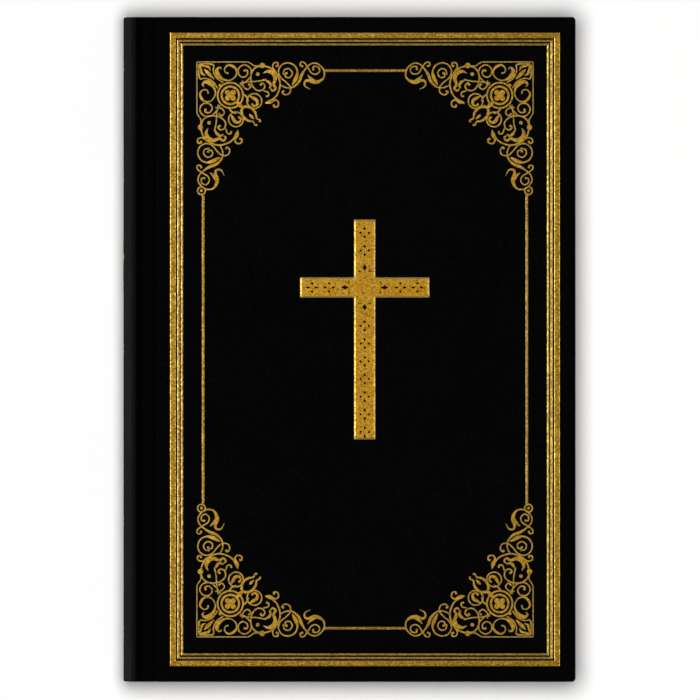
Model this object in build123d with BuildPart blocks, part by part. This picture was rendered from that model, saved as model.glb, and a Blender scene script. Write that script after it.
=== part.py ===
"""A case-bound bible lying closed on its back cover: leather-covered boards, a sewn and rounded
text block of folded signatures, and gold foil blocked on the front cover and the spine.

Frame: X from spine (-X) to fore-edge (+X), Y from tail to head (+Y), Z up through the front cover.
The origin is under the middle of the book, on the surface it lies on. Millimetres.
"""

import math
import os

from build123d import *

os.makedirs("parts", exist_ok=True)

# ---- Driving dimensions -------------------------------------------------------------------------
case_height = 235.0  # head to tail, over the boards
case_width = 160.0  # spine to fore-edge, over everything
leaf_width = 152.4  # six inches
leaf_height = 228.6  # nine inches
block_thickness = 32.0  # 640 leaves of thin paper
signature_count = 20  # folded sections of 32 leaves
turning_count = 4  # signatures that turn with the front cover
leather = 0.5
board = 2.6
endpaper = 0.15
air = 0.15  # clear space between a cover's lining and the flyleaf
turn_in = 15.0  # leather folded over a board's edge
foil = 0.1

# ---- Levels of the front cover, from the text block outwards -------------------------------------
cover_depth = leather + board + leather + endpaper + air + endpaper + 0.05
case_thickness = block_thickness + 2 * cover_depth
mid_z = case_thickness / 2
block_top = mid_z + block_thickness / 2
flyleaf_z = block_top + 0.05
pastedown_z = flyleaf_z + endpaper + air
turn_in_z = pastedown_z + endpaper
board_z = turn_in_z + leather
outer_z = board_z + board
face_z = outer_z + leather
mid_plane = Plane.XY.offset(mid_z)

# ---- Plan of the case ----------------------------------------------------------------------------
fore_x = case_width / 2
head_y = case_height / 2
board_x = -68.8  # leather face of the board's spine-side edge, in the groove
board_left = board_x + leather
board_right = fore_x - leather
board_half = head_y - leather
leaf_half = leaf_height / 2

# ---- The rounded spine: layers about one axis, with their radii from the folds outwards ----------
fold_radius = 50.0
fold_middle_x = -78.4
spine_x = fold_middle_x + fold_radius
glue_radius = fold_radius + 0.25
mull_radius = glue_radius + 0.13
lining_radius = mull_radius + 0.12
stiffener_in = lining_radius + 0.1
stiffener_out = stiffener_in + 0.4
leather_out = stiffener_out + leather
foil_out = leather_out + foil
shoulder_half = mid_z - 2.1  # half the height of the backed spine, shoulders included
shoulder_foot_x = -74.2  # where a shoulder's slope meets the block

# ---- How the book opens --------------------------------------------------------------------------
hinge_x = -74.2
hinge_z = turn_in_z + leather / 2
spine_leather_x = -73.2  # where the leather that stays with the spine ends
groove_band_x = -71.0  # and where the leather that moves with a board begins
flyleaf_pivot_x = -73.3
flyleaf_reach = 10.0  # the flyleaf bends between its pivot and here
signature_pivot_x = -72.6
signature_pivot_step = 0.6
signature_reach = 12.0
bend_gap = 0.35


def fold_x(z, radius=fold_radius):
    """X of a spine layer at height z."""
    return spine_x - math.sqrt(radius**2 - (z - mid_z) ** 2)


def save(builder, label):
    """Labels a finished piece and writes it as its own STEP file."""
    builder.part.label = label
    export_step(builder.part, f"parts/{label}.step")


def save_mirrored(builder, label, about=mid_plane):
    """Writes a piece's mirror image, by default the back cover's copy of a front cover piece."""
    with BuildPart() as image:
        mirror(builder.part, about=about)
    save(image, label)


def slab(x0, x1, y0, y1, z0, z1, mode=Mode.ADD):
    """A rectangular sheet or recess, given by its limits."""
    with BuildSketch(Plane.XY.offset(z0)) as outline:
        with Locations(((x0 + x1) / 2, (y0 + y1) / 2)):
            Rectangle(x1 - x0, y1 - y0)
    extrude(outline.sketch, amount=z1 - z0, mode=mode)


def spine_layer(r_in, r_out, half_z, y0, y1, mode=Mode.ADD):
    """A curved sheet on the rounded spine, between two radii, within a height and two stations."""
    heights = (mid_z - half_z, mid_z, mid_z + half_z)
    with BuildSketch(Plane.XZ.offset(-y1)) as section:
        with BuildLine():
            inner = ThreePointArc(*[(fold_x(z, r_in), z) for z in heights])
            outer = ThreePointArc(*[(fold_x(z, r_out), z) for z in heights])
            Line(inner @ 0, outer @ 0)
            Line(inner @ 1, outer @ 1)
        make_face()
    extrude(section.sketch, amount=y1 - y0, mode=mode)


# ---- Boards, leather and endpapers of the front cover; the back cover mirrors them ---------------
with BuildPart() as front_board:
    slab(board_left, board_right, -board_half, board_half, board_z, outer_z)
save(front_board, "front_board")
save_mirrored(front_board, "back_board")

with BuildPart() as front_cover_leather:
    slab(board_x, fore_x, -head_y, head_y, turn_in_z, face_z)
    fillet(front_cover_leather.edges().filter_by(Axis.Z).group_by(Axis.X)[-1], radius=1.2)
    fillet(front_cover_leather.faces().sort_by(Axis.Z)[-1].edges(), radius=0.9)
    slab(board_left, board_right, -board_half, board_half, board_z, outer_z, Mode.SUBTRACT)
    slab(
        board_left,
        fore_x - turn_in,
        -head_y + turn_in,
        head_y - turn_in,
        turn_in_z,
        board_z,
        Mode.SUBTRACT,
    )
    slab(groove_band_x, board_left, -head_y, head_y, turn_in_z, board_z)
save(front_cover_leather, "front_cover_leather")
save_mirrored(front_cover_leather, "back_cover_leather")

with BuildPart() as front_joint_leather:
    slab(spine_leather_x, groove_band_x, -head_y, head_y, turn_in_z, board_z)
save(front_joint_leather, "front_joint_leather")
save_mirrored(front_joint_leather, "back_joint_leather")

flange = 0.12
flange_x = -48.0
flange_half = 98.0
with BuildPart() as front_mull_flange:
    slab(board_left, flange_x, -flange_half, flange_half, board_z - flange, board_z)
save(front_mull_flange, "front_mull_flange")
save_mirrored(front_mull_flange, "back_mull_flange")

# The pastedown lies over the turn-ins at its margins and dips onto the board between them.
lining_top = board_z - endpaper
recess_x = fore_x - turn_in
recess_half = head_y - turn_in
with BuildPart() as front_pastedown:
    slab(groove_band_x, fore_x - 3.4, -leaf_half, leaf_half, pastedown_z, turn_in_z)
    slab(board_left, recess_x, -recess_half, recess_half, pastedown_z, board_z)
    slab(
        flange_x + endpaper,
        recess_x - endpaper,
        -recess_half + endpaper,
        recess_half - endpaper,
        pastedown_z,
        lining_top,
        Mode.SUBTRACT,
    )
    slab(
        board_left + endpaper,
        flange_x + endpaper,
        -recess_half + endpaper,
        recess_half - endpaper,
        pastedown_z,
        lining_top - flange,
        Mode.SUBTRACT,
    )
    slab(
        board_left,
        flange_x,
        -flange_half,
        flange_half,
        board_z - flange,
        board_z,
        Mode.SUBTRACT,
    )
save(front_pastedown, "front_pastedown")
save_mirrored(front_pastedown, "back_pastedown")

fly_start = flyleaf_pivot_x + flyleaf_reach
with BuildPart() as front_flyleaf:
    slab(fly_start, fore_x - 3.4, -leaf_half, leaf_half, flyleaf_z, flyleaf_z + endpaper)
save(front_flyleaf, "front_flyleaf")
save_mirrored(front_flyleaf, "back_flyleaf")

with BuildPart() as front_endpaper_fold:
    slab(
        flyleaf_pivot_x,
        fly_start - bend_gap,
        -leaf_half,
        leaf_half,
        flyleaf_z,
        flyleaf_z + endpaper,
    )
save(front_endpaper_fold, "front_endpaper_fold")
save_mirrored(front_endpaper_fold, "back_endpaper_fold")


# ---- The sewn text block -------------------------------------------------------------------------
signature_pitch = block_thickness / signature_count
signature_gap = 0.04


def signature_profile(low, high, start=None, end=None):
    """Cross-section of a signature from its fold, or from start, to its fore-edge, or to end."""
    heights = (low, (low + high) / 2, high)
    left = [(start or fold_x(z), z) for z in heights]
    right = [(end or fold_x(z) + leaf_width, z) for z in heights]
    with BuildLine() as outline:
        Line(left[0], left[2]) if start else ThreePointArc(*left)
        Line(right[0], right[2]) if end else ThreePointArc(*right)
        Line(left[0], right[0])
        Line(left[2], right[2])
    make_face(outline.edges())


def shoulder_profile(side):
    """The flare of an outermost signature, up or down, against which a cover's joint lies."""
    face = mid_z + side * block_thickness / 2
    tip = mid_z + side * shoulder_half
    with BuildLine() as outline:
        flare = ThreePointArc(*[(fold_x(z), z) for z in (face, (face + tip) / 2, tip)])
        Polyline(flare @ 1, (shoulder_foot_x, face), flare @ 0)
    make_face(outline.edges())


def signature_levels(number):
    """Heights of a signature's two faces, counted from the front cover."""
    high = block_top - signature_gap / 2 - number * signature_pitch
    return high - signature_pitch + signature_gap, high


def signature_bend(number):
    """X where a turning signature's leaves come free of its bound folds."""
    return signature_pivot_x + number * signature_pivot_step + signature_reach


with BuildPart() as front_signature_folds:
    with BuildSketch(Plane.XZ):
        for number in range(turning_count):
            signature_profile(*signature_levels(number), end=signature_bend(number) - bend_gap)
        shoulder_profile(1)
    extrude(amount=leaf_half, both=True)
save(front_signature_folds, "front_signature_folds")

for number in range(signature_count):
    with BuildPart() as signature:
        with BuildSketch(Plane.XZ):
            bend = signature_bend(number) if number < turning_count else None
            signature_profile(*signature_levels(number), start=bend)
            if number == signature_count - 1:
                shoulder_profile(-1)
        extrude(amount=leaf_half, both=True)
    save(signature, f"signature_{number + 1:02d}")

# ---- What holds the spine together ---------------------------------------------------------------
stations = (-104.0, -72.0, -36.0, 0.0, 36.0, 72.0, 104.0)
thread_width = 0.7
thread_slot = 0.8
with BuildPart() as sewing_thread:
    for station in stations:
        spine_layer(
            fold_radius,
            glue_radius,
            block_thickness / 2 - 0.8,
            station - thread_width / 2,
            station + thread_width / 2,
        )
save(sewing_thread, "sewing_thread")

with BuildPart() as spine_glue:
    spine_layer(fold_radius, glue_radius, block_thickness / 2 + 1, -112.0, 112.0)
    for station in stations:
        spine_layer(
            fold_radius - 1,
            glue_radius + 1,
            block_thickness / 2 + 1.2,
            station - thread_slot / 2,
            station + thread_slot / 2,
            Mode.SUBTRACT,
        )
save(spine_glue, "spine_glue")

# The open-weave cloth runs round the spine, over both shoulders and down to the joints.
mull_half = 98.0
mull_edge = shoulder_half - 0.1
with BuildPart() as mull:
    spine_layer(glue_radius, mull_radius, mull_edge, -mull_half, mull_half)
    for side in (1, -1):
        with BuildSketch(Plane.XZ):
            with BuildLine():
                Polyline(
                    (fold_x(mid_z + mull_edge, mull_radius), mid_z + side * mull_edge),
                    (-75.3, mid_z + side * (shoulder_half + 0.28)),
                    (-74.8, mid_z + side * (shoulder_half + 0.22)),
                    (-73.95, mid_z + side * (block_thickness / 2 + 0.22)),
                    (-73.6, mid_z + side * (block_thickness / 2 + 0.22)),
                    (-73.6, mid_z + side * (block_thickness / 2 + 0.1)),
                    (-74.05, mid_z + side * (block_thickness / 2 + 0.1)),
                    (-74.88, mid_z + side * (shoulder_half + 0.1)),
                    (-75.2, mid_z + side * (shoulder_half + 0.16)),
                    (fold_x(mid_z + mull_edge, glue_radius), mid_z + side * mull_edge),
                    close=True,
                )
            make_face()
        extrude(amount=mull_half, both=True)
save(mull, "mull")

with BuildPart() as spine_lining_paper:
    spine_layer(mull_radius, lining_radius, shoulder_half - 1, -113.0, 113.0)
save(spine_lining_paper, "spine_lining_paper")

stiffener_half = shoulder_half - 0.6
with BuildPart() as spine_stiffener:
    spine_layer(stiffener_in, stiffener_out, stiffener_half, -board_half, board_half)
save(spine_stiffener, "spine_stiffener")

# ---- Leather of the spine, from groove to groove, with its turned-in head and tail caps -----------
cap_depth = 1.1
cap_radius = stiffener_in - leather
with BuildPart() as spine_leather:
    spine_layer(stiffener_out, leather_out, stiffener_half + 0.2, -head_y, head_y)
    for side in (1, -1):
        edge = mid_z + side * (stiffener_half + 0.2)
        crest = mid_z + side * (shoulder_half + 0.85)
        groove_low = mid_z + side * (turn_in_z - mid_z)
        groove_high = mid_z + side * (board_z - mid_z)
        with BuildSketch(Plane.XZ):
            with BuildLine():
                Polyline(
                    (fold_x(edge, stiffener_out), edge),
                    (-75.05, crest),
                    (-73.8, groove_low),
                    (spine_leather_x, groove_low),
                    (spine_leather_x, groove_high),
                    (-73.5, groove_high),
                    (-74.6, crest + side * 0.2),
                    (-75.2, crest + side * 0.5),
                    (fold_x(edge, leather_out), edge),
                    close=True,
                )
            make_face()
        extrude(amount=head_y, both=True)
    for station in (board_half, -head_y):
        spine_layer(cap_radius, stiffener_out + 0.01, stiffener_half, station, station + leather)
    for station in (head_y - cap_depth, -head_y + leather):
        spine_layer(cap_radius, stiffener_in, stiffener_half, station, station + cap_depth - leather)
save(spine_leather, "spine_leather")

# ---- Head and tail bands: a worked bead over the block's end, on a cloth skirt glued to the spine --
bead_radius = 1.0
bead_path_radius = fold_radius - bead_radius + 0.05
bead_half = 15.4
skirt = 14.0
for label, side in (("head_band", 1), ("tail_band", -1)):
    bead_y = side * (leaf_half + bead_radius)
    with BuildPart() as band:
        with BuildLine(Plane.XZ.offset(-bead_y)):
            heights = (mid_z - bead_half, mid_z, mid_z + bead_half)
            path = ThreePointArc(*[(fold_x(z, bead_path_radius), z) for z in heights])
        with BuildSketch(Plane(origin=path @ 0, z_dir=path % 0)):
            Circle(bead_radius)
        sweep()
        ends = sorted((side * (leaf_half - skirt), side * (leaf_half + bead_radius)))
        spine_layer(glue_radius, mull_radius, bead_half, *ends)
        ends = sorted((side * (leaf_half + 0.1), side * (leaf_half + bead_radius + 0.5)))
        spine_layer(fold_radius - 0.3, mull_radius, bead_half, *ends)
    save(band, label)

# ---- Gold foil on the front cover -----------------------------------------------------------------
frame_margin = 5.3
broad_line = 2.0
thin_line = 0.85
line_gap = 0.5
frame_x = (board_x + fore_x) / 2  # the blocking is centred on the board, clear of the groove
frame_half_x = (fore_x - board_x) / 2 - frame_margin
frame_half_y = head_y - frame_margin
rule_width = 0.9
rule_half_x = 57.2
rule_half_y = 98.5
corner_half_x = 59.5
corner_half_y = 101.7
corner_reach_x = 45.0  # how far an ornament runs from its corner towards the middle of the head
corner_reach_y = 47.2  # and towards the middle of the side


def ring_line(inset, width):
    """One rectangular line of the frame, mitred at its corners."""
    with Locations((frame_x, 0)):
        Rectangle(2 * (frame_half_x - inset), 2 * (frame_half_y - inset))
        Rectangle(
            2 * (frame_half_x - inset - width),
            2 * (frame_half_y - inset - width),
            mode=Mode.SUBTRACT,
        )


insets = (0, broad_line + line_gap, broad_line + thin_line + 2 * line_gap)
widths = (broad_line, thin_line, thin_line)
for label, inset, width in zip(("outer", "middle", "inner"), insets, widths):
    with BuildPart() as frame_line:
        with BuildSketch(Plane.XY.offset(face_z)):
            ring_line(inset, width)
        extrude(amount=foil)
    save(frame_line, f"frame_foil_{label}")

rule_gap = 0.3
rule_length_x = 2 * (corner_half_x - corner_reach_x - rule_gap)
rule_length_y = 2 * (corner_half_y - corner_reach_y - rule_gap)
with BuildPart() as rule_foil:
    with BuildSketch(Plane.XY.offset(face_z)):
        for side in (1, -1):
            with Locations((frame_x, side * rule_half_y)):
                Rectangle(rule_length_x, rule_width)
            with Locations((frame_x + side * rule_half_x, 0)):
                Rectangle(rule_width, rule_length_y)
    extrude(amount=foil)
save(rule_foil, "rule_foil")

# The cross, pierced by small lozenges in clusters of four along its bars.
cross_top = 45.9
cross_foot = -31.9
cross_arm_y = 21.9
cross_half_width = 22.95
stem_width = 7.8
arm_width = 7.3
lozenge_pitch = 6.2
lozenge_offset = 1.45
lozenge_length = 1.1
lozenge_width = 0.75
big_lozenge_at = 7.0
big_lozenge_length = 1.3
first_cluster = 13.1


def lozenge(x, y, half_x, half_y):
    """A four-pointed hole in the foil."""
    with Locations((x, y)):
        Polygon((-half_x, 0), (0, -half_y), (half_x, 0), (0, half_y), mode=Mode.SUBTRACT)


def cluster(x, y, along_x):
    """Four small lozenges round a point, the outer pair drawn out along the bar they lie on."""
    for side in (1, -1):
        if along_x:
            lozenge(x + side * lozenge_offset, y, lozenge_length / 2, lozenge_width / 2)
        else:
            lozenge(x + side * lozenge_offset, y, lozenge_width / 2, lozenge_length / 2)
        lozenge(x, y + side * lozenge_offset, lozenge_width / 2, lozenge_length / 2)


with BuildPart() as cross_foil:
    with BuildSketch(Plane.XY.offset(face_z)):
        with Locations((frame_x, (cross_top + cross_foot) / 2)):
            Rectangle(stem_width, cross_top - cross_foot)
        with Locations((frame_x, cross_arm_y)):
            Rectangle(2 * cross_half_width, arm_width)
        for step in range(2):
            cluster(frame_x, cross_arm_y + first_cluster + step * lozenge_pitch, False)
            for side in (1, -1):
                cluster(frame_x + side * (first_cluster + step * lozenge_pitch), cross_arm_y, True)
        for step in range(7):
            cluster(frame_x, cross_arm_y - first_cluster - step * lozenge_pitch, False)
        for side in (1, -1):
            lozenge(frame_x + side * big_lozenge_at, cross_arm_y, big_lozenge_length, 0.8)
            lozenge(frame_x, cross_arm_y + side * big_lozenge_at, 0.8, big_lozenge_length)
    extrude(amount=foil)
save(cross_foil, "cross_foil")

# The corner ornaments: generic scrollwork laid out in (u, v), the distances in from a corner along
# the head and along the side. One arm is drawn and mirrored about the corner's diagonal.
stroke = 0.5
arm_scrolls = (  # centre, radius, angle where the outer end starts, and hand
    (11.9, 3.9, 2.4, 90, 1),
    (17.0, 3.9, 2.4, 90, -1),
    (32.0, 3.9, 3.1, 100, -1),
    (41.7, 2.9, 2.2, 100, 1),
    (27.2, 13.2, 1.9, 200, 1),
    (31.6, 10.0, 1.6, 220, -1),
)
arm_rings = ((24.4, 6.0, 4.9), (20.6, 13.6, 2.4))
arm_leaves = (  # base, tip and width of each leaf
    (22.3, 4.2, 27.0, 7.8, 2.6),
    (19.4, 12.6, 21.8, 14.6, 1.6),
    (34.6, 6.3, 38.6, 3.2, 1.7),
    (39.4, 5.6, 44.0, 8.4, 1.6),
    (29.8, 1.2, 27.0, 0.7, 0.9),
)
arm_stems = (  # start, a point on the way and end of each connecting line
    (0.0, 0.25, 9.0, 0.3, 18.4, 0.25),
    (18.4, 0.25, 20.0, 0.6, 21.4, 1.4),
    (11.9, 6.3, 14.5, 7.6, 17.0, 6.3),
    (29.2, 7.2, 30.4, 7.9, 31.5, 7.0),
    (32.0, 0.9, 37.2, 2.9, 41.3, 5.1),
    (27.0, 10.2, 28.6, 11.0, 30.0, 9.2),
    (22.9, 13.0, 24.0, 12.2, 25.4, 12.6),
)
corner_leaves = ((1.2, 1.2, 6.2, 6.2, 3.0), (16.4, 16.4, 21.0, 21.0, 2.6))
medallion_at = 11.9
medallion_radii = (4.4, 3.1)


def scroll(u, v, radius, start, hand):
    """A spiral of three shrinking half turns, closed by a round bud."""
    centre = Vector(u, v)
    with BuildLine() as coil:
        for share in (1.0, 0.7, 0.42):
            turn = radius * share
            CenterArc(centre, turn, start, hand * 180)
            start += 180
            centre += Vector(radius * 0.29, 0).rotate(Axis.Z, start)
    trace(coil.edges(), line_width=stroke)
    with Locations((u, v)):
        Circle(radius * 0.28)


def leaf(u0, v0, u1, v1, width):
    """A pointed leaf between two arcs."""
    base, tip = Vector(u0, v0), Vector(u1, v1)
    bulge = (tip - base).normalized().rotate(Axis.Z, 90) * (width / 2)
    with BuildLine() as outline:
        ThreePointArc(base, (base + tip) / 2 + bulge, tip)
        ThreePointArc(base, (base + tip) / 2 - bulge, tip)
    make_face(outline.edges())


def ring(u, v, radius):
    """A plain ring of the foil."""
    with BuildLine() as circle:
        CenterArc((u, v), radius, 0, 360)
    trace(circle.edges(), line_width=stroke)


with BuildSketch() as arm:
    for spec in arm_scrolls:
        scroll(*spec)
    for spec in arm_rings:
        ring(*spec)
    for spec in arm_leaves:
        leaf(*spec)
    for spec in arm_stems:
        with BuildLine() as stem:
            ThreePointArc(spec[0:2], spec[2:4], spec[4:6])
        trace(stem.edges(), line_width=stroke)

diagonal = Plane(origin=(0, 0, 0), x_dir=(1, 1, 0), z_dir=(1, -1, 0))
with BuildSketch() as corner:
    add(arm.sketch)
    mirror(arm.sketch, about=diagonal)
    for spec in corner_leaves:
        leaf(*spec)
    ring(2.0, 45.5, 1.4)
    for radius in medallion_radii:
        ring(medallion_at, medallion_at, radius)
    with Locations((medallion_at, medallion_at)):
        with PolarLocations(0.8, 4):
            Circle(0.7)

with BuildPart() as corner_foil:
    with BuildSketch(Plane.XY.offset(face_z)):
        with Locations((frame_x + corner_half_x, corner_half_y)):
            add(corner.sketch.rotate(Axis.Z, 180))
    extrude(amount=foil)
save(corner_foil, "corner_foil_head_fore_edge")
save_mirrored(corner_foil, "corner_foil_tail_fore_edge", Plane.XZ)
with BuildPart() as spine_side_foil:
    mirror(corner_foil.part, about=Plane.YZ.offset(frame_x))
save(spine_side_foil, "corner_foil_head_spine")
save_mirrored(spine_side_foil, "corner_foil_tail_spine", Plane.XZ)

# ---- Gold foil on the spine: pairs of rules and a small plain cross between two of them -----------
spine_rule_stations = (-100.0, -61.0, 0.0, 61.0, 100.0)
spine_rule_widths = ((-1.6, 1.2), (0.9, 0.6))  # offset from the station and width of each rule
spine_rule_half = 4.5
spine_cross_y = 32.0
spine_cross_top = 38.5
spine_cross_foot = 20.5
spine_cross_half_arm = 4.5
spine_cross_bar = 1.9
with BuildPart() as spine_foil:
    for station in spine_rule_stations:
        for offset_y, width in spine_rule_widths:
            start = station + offset_y
            spine_layer(leather_out, foil_out, spine_rule_half, start, start + width)
    for y0, y1, half in (
        (spine_cross_foot, spine_cross_top, spine_cross_bar / 2),
        (spine_cross_y, spine_cross_y + spine_cross_bar, spine_cross_half_arm),
    ):
        spine_layer(leather_out, foil_out, half, y0, y1)
save(spine_foil, "spine_foil")
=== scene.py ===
"""A case-bound bible in black grained leather, lying closed on its back cover.

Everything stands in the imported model's own frame: X from the spine to the fore-edge, Y from the
tail to the head and Z up through the front cover. Lengths in this file are millimetres until a mesh
is made, when they become metres.
"""

import logging
import math
from collections.abc import Callable, Iterable, Sequence
from dataclasses import dataclass
from enum import Enum
from functools import cache

import bmesh
import bpy
import numpy as np
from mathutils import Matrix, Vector, noise


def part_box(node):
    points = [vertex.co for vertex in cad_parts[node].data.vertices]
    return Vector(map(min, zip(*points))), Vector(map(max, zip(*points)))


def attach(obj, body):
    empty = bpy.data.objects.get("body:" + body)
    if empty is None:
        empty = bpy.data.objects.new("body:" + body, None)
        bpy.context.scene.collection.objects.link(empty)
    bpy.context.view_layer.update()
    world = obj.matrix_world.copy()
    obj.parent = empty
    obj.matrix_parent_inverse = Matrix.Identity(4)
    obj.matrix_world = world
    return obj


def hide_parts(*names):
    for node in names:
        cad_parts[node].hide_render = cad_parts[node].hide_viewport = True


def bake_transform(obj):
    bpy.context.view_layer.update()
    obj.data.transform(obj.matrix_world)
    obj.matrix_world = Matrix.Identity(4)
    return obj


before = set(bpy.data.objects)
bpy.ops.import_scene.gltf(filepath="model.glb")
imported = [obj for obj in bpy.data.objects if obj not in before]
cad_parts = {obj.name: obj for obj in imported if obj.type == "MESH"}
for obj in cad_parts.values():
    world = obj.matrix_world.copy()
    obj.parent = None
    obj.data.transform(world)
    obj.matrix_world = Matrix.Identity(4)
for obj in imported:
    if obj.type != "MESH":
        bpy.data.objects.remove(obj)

LOG = logging.getLogger("bible")
MM = 0.001
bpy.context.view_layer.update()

Point2 = tuple[float, float]
Point3 = tuple[float, float, float]
Face = tuple[int, ...]
Piece, Mesh = bpy.types.Object, bpy.types.Mesh
Material, Tree = bpy.types.Material, bpy.types.NodeTree
Node, Socket = bpy.types.Node, bpy.types.NodeSocket
Value = float | int | bool | tuple | Socket | Material | str


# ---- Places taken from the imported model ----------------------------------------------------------


def box_mm(node: str) -> tuple[np.ndarray, np.ndarray]:
    """Gives a node's lowest and highest corners.

    Args:
        node: The node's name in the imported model.

    Returns:
        The two corners in millimetres.
    """
    low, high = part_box(node)
    return np.array(low) / MM, np.array(high) / MM


@dataclass(frozen=True)
class Layout:
    """The levels and edges of the book that several pieces share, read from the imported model."""

    leather: float = 0.5
    face_z: float = float(box_mm("front_cover_leather")[1][2])
    turn_in_z: float = float(box_mm("front_cover_leather")[0][2])
    band_x: float = float(box_mm("front_cover_leather")[0][0])
    fore_x: float = float(box_mm("front_cover_leather")[1][0])
    head_y: float = float(box_mm("front_cover_leather")[1][1])
    board_left: float = float(box_mm("front_board")[0][0])
    board_z: float = float(box_mm("front_board")[0][2])
    outer_z: float = float(box_mm("front_board")[1][2])
    spine_x: float = float(box_mm("spine_leather")[0][0])
    block_top: float = float(box_mm("signature_01")[1][2])
    leaf_half: float = float(box_mm("signature_01")[1][1])
    fold_radius: float = 50.0
    leaf_width: float = 152.4

    @property
    def mid_z(self) -> float:
        """Height of the book's middle plane."""
        return self.face_z / 2

    @property
    def board_x(self) -> float:
        """The leather face of a board's spine-side edge."""
        return self.board_left - self.leather

    @property
    def spine_radius(self) -> float:
        """Outside radius of the leather on the spine."""
        return self.fold_radius + 1.5

    @property
    def spine_centre(self) -> float:
        """X of the axis that the spine's layers are rounded about."""
        return self.spine_x + self.spine_radius

    @property
    def centre_x(self) -> float:
        """X that the gold blocking of the cover is centred on."""
        return (self.board_x + self.fore_x) / 2

    def arc_x(self, z: float, radius: float) -> float:
        """Gives the X of a rounded layer of the spine.

        Args:
            z: Height of the point.
            radius: Radius of the layer.

        Returns:
            X of the point.
        """
        return self.spine_centre - math.sqrt(radius**2 - (z - self.mid_z) ** 2)


LAYOUT = Layout()


class Side(Enum):
    """Which cover a piece belongs to."""

    FRONT = "front"
    BACK = "back"

    def flip(self, points: Iterable[Point3]) -> list[Point3]:
        """Moves points drawn for the front cover to this cover.

        Args:
            points: Points in millimetres, placed for the front cover.

        Returns:
            The same points, mirrored about the book's middle plane for the back cover.
        """
        if self is Side.FRONT:
            return [tuple(p) for p in points]
        return [(x, y, 2 * LAYOUT.mid_z - z) for x, y, z in points]

    def turn(self, faces: Iterable[Sequence[int]]) -> list[Face]:
        """Keeps faces pointing outwards after the points are mirrored.

        Args:
            faces: Corner numbers of each face, in the front cover's order.

        Returns:
            The faces in the right order for this cover.
        """
        return [tuple(f) if self is Side.FRONT else tuple(reversed(f)) for f in faces]


# ---- Node trees ----------------------------------------------------------------------------------


class Graph:
    """Adds nodes to one tree and links them as they are added."""

    def __init__(self, tree: Tree) -> None:
        """Starts on an existing tree."""
        self.tree = tree

    def add(self, kind: str, settings: dict[str, object] | None = None, **inputs: Value) -> Node:
        """Adds a node, sets its options and fills or links its inputs.

        Args:
            kind: The node's Blender type name.
            settings: Options of the node that aren't sockets.
            **inputs: A value or a socket for each named input, spaces written as underscores, or
                for its position when the name is "i" and a number.

        Returns:
            The new node.
        """
        node = self.tree.nodes.new(kind)
        for key, value in (settings or {}).items():
            setattr(node, key, value)
        self.feed(node, **inputs)
        return node

    def feed(self, node: Node, **inputs: Value) -> None:
        """Fills or links a node's inputs.

        Args:
            node: The node.
            **inputs: Values or sockets, named as in add.
        """
        for key, value in inputs.items():
            if key[0] == "i" and key[1:].isdigit():
                target = node.inputs[int(key[1:])]
            else:
                name = key.replace("_", " ")
                target = next(s for s in node.inputs if s.name == name and s.enabled)
            if isinstance(value, Socket):
                self.tree.links.new(value, target)
            else:
                target.default_value = value

    def math(self, operation: str, *values: float | Socket, clamp: bool = False) -> Socket:
        """Adds a maths node.

        Args:
            operation: The operation's Blender name.
            *values: Its inputs in order.
            clamp: Whether the result is kept between 0 and 1.

        Returns:
            The result's socket.
        """
        inputs = {f"i{n}": v for n, v in enumerate(values)}
        return self.add("ShaderNodeMath", {"operation": operation, "use_clamp": clamp}, **inputs).outputs[0]

    def mix(self, share: float | Socket, first: tuple | Socket, second: tuple | Socket) -> Socket:
        """Adds a colour mix from first to second.

        Args:
            share: How much of the second colour, from 0 to 1.
            first: Colour at 0.
            second: Colour at 1.

        Returns:
            The mixed colour's socket.
        """
        node = self.add("ShaderNodeMix", {"data_type": "RGBA"}, i0=share, i6=first, i7=second)
        return node.outputs[2]

    def bump(self, height: Socket, strength: float, relief: float) -> Socket:
        """Turns a height into a surface normal.

        Args:
            height: The height, from 0 to 1.
            strength: How strongly it shows.
            relief: What a height of 1 stands for, in millimetres.

        Returns:
            The normal's socket.
        """
        node = self.add("ShaderNodeBump", Strength=strength, Distance=relief * MM, Height=height)
        return node.outputs[0]

    def ramp(
        self, value: Socket, low: float, high: float, to_low: float = 0.0, to_high: float = 1.0
    ) -> Socket:
        """Stretches a value from one range to another, stopping at the ends.

        Args:
            value: The value's socket.
            low: Value that gives to_low.
            high: Value that gives to_high.
            to_low: Result at low.
            to_high: Result at high.

        Returns:
            The result's socket.
        """
        limits = {"i0": value, "i1": low, "i2": high, "i3": to_low, "i4": to_high}
        return self.add("ShaderNodeMapRange", {"clamp": True}, **limits).outputs[0]


def tree_with(
    name: str, kind: str, inputs: Sequence[tuple[str, str]], outputs: Sequence[tuple[str, str]]
) -> tuple[Graph, dict[str, Socket], Node]:
    """Makes an empty node tree with named sockets.

    Args:
        name: The tree's name.
        kind: ShaderNodeTree or GeometryNodeTree.
        inputs: Name of each input and its kind of socket, such as Float.
        outputs: The same for each output.

    Returns:
        The graph, the input node's sockets by name, and the output node.
    """
    tree = bpy.data.node_groups.new(name, kind)
    for label, socket in inputs:
        tree.interface.new_socket(label, in_out="INPUT", socket_type=f"NodeSocket{socket}")
    for label, socket in outputs:
        tree.interface.new_socket(label, in_out="OUTPUT", socket_type=f"NodeSocket{socket}")
    entry, leave = tree.nodes.new("NodeGroupInput"), tree.nodes.new("NodeGroupOutput")
    return Graph(tree), {s.name: s for s in entry.outputs if s.name}, leave


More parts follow.
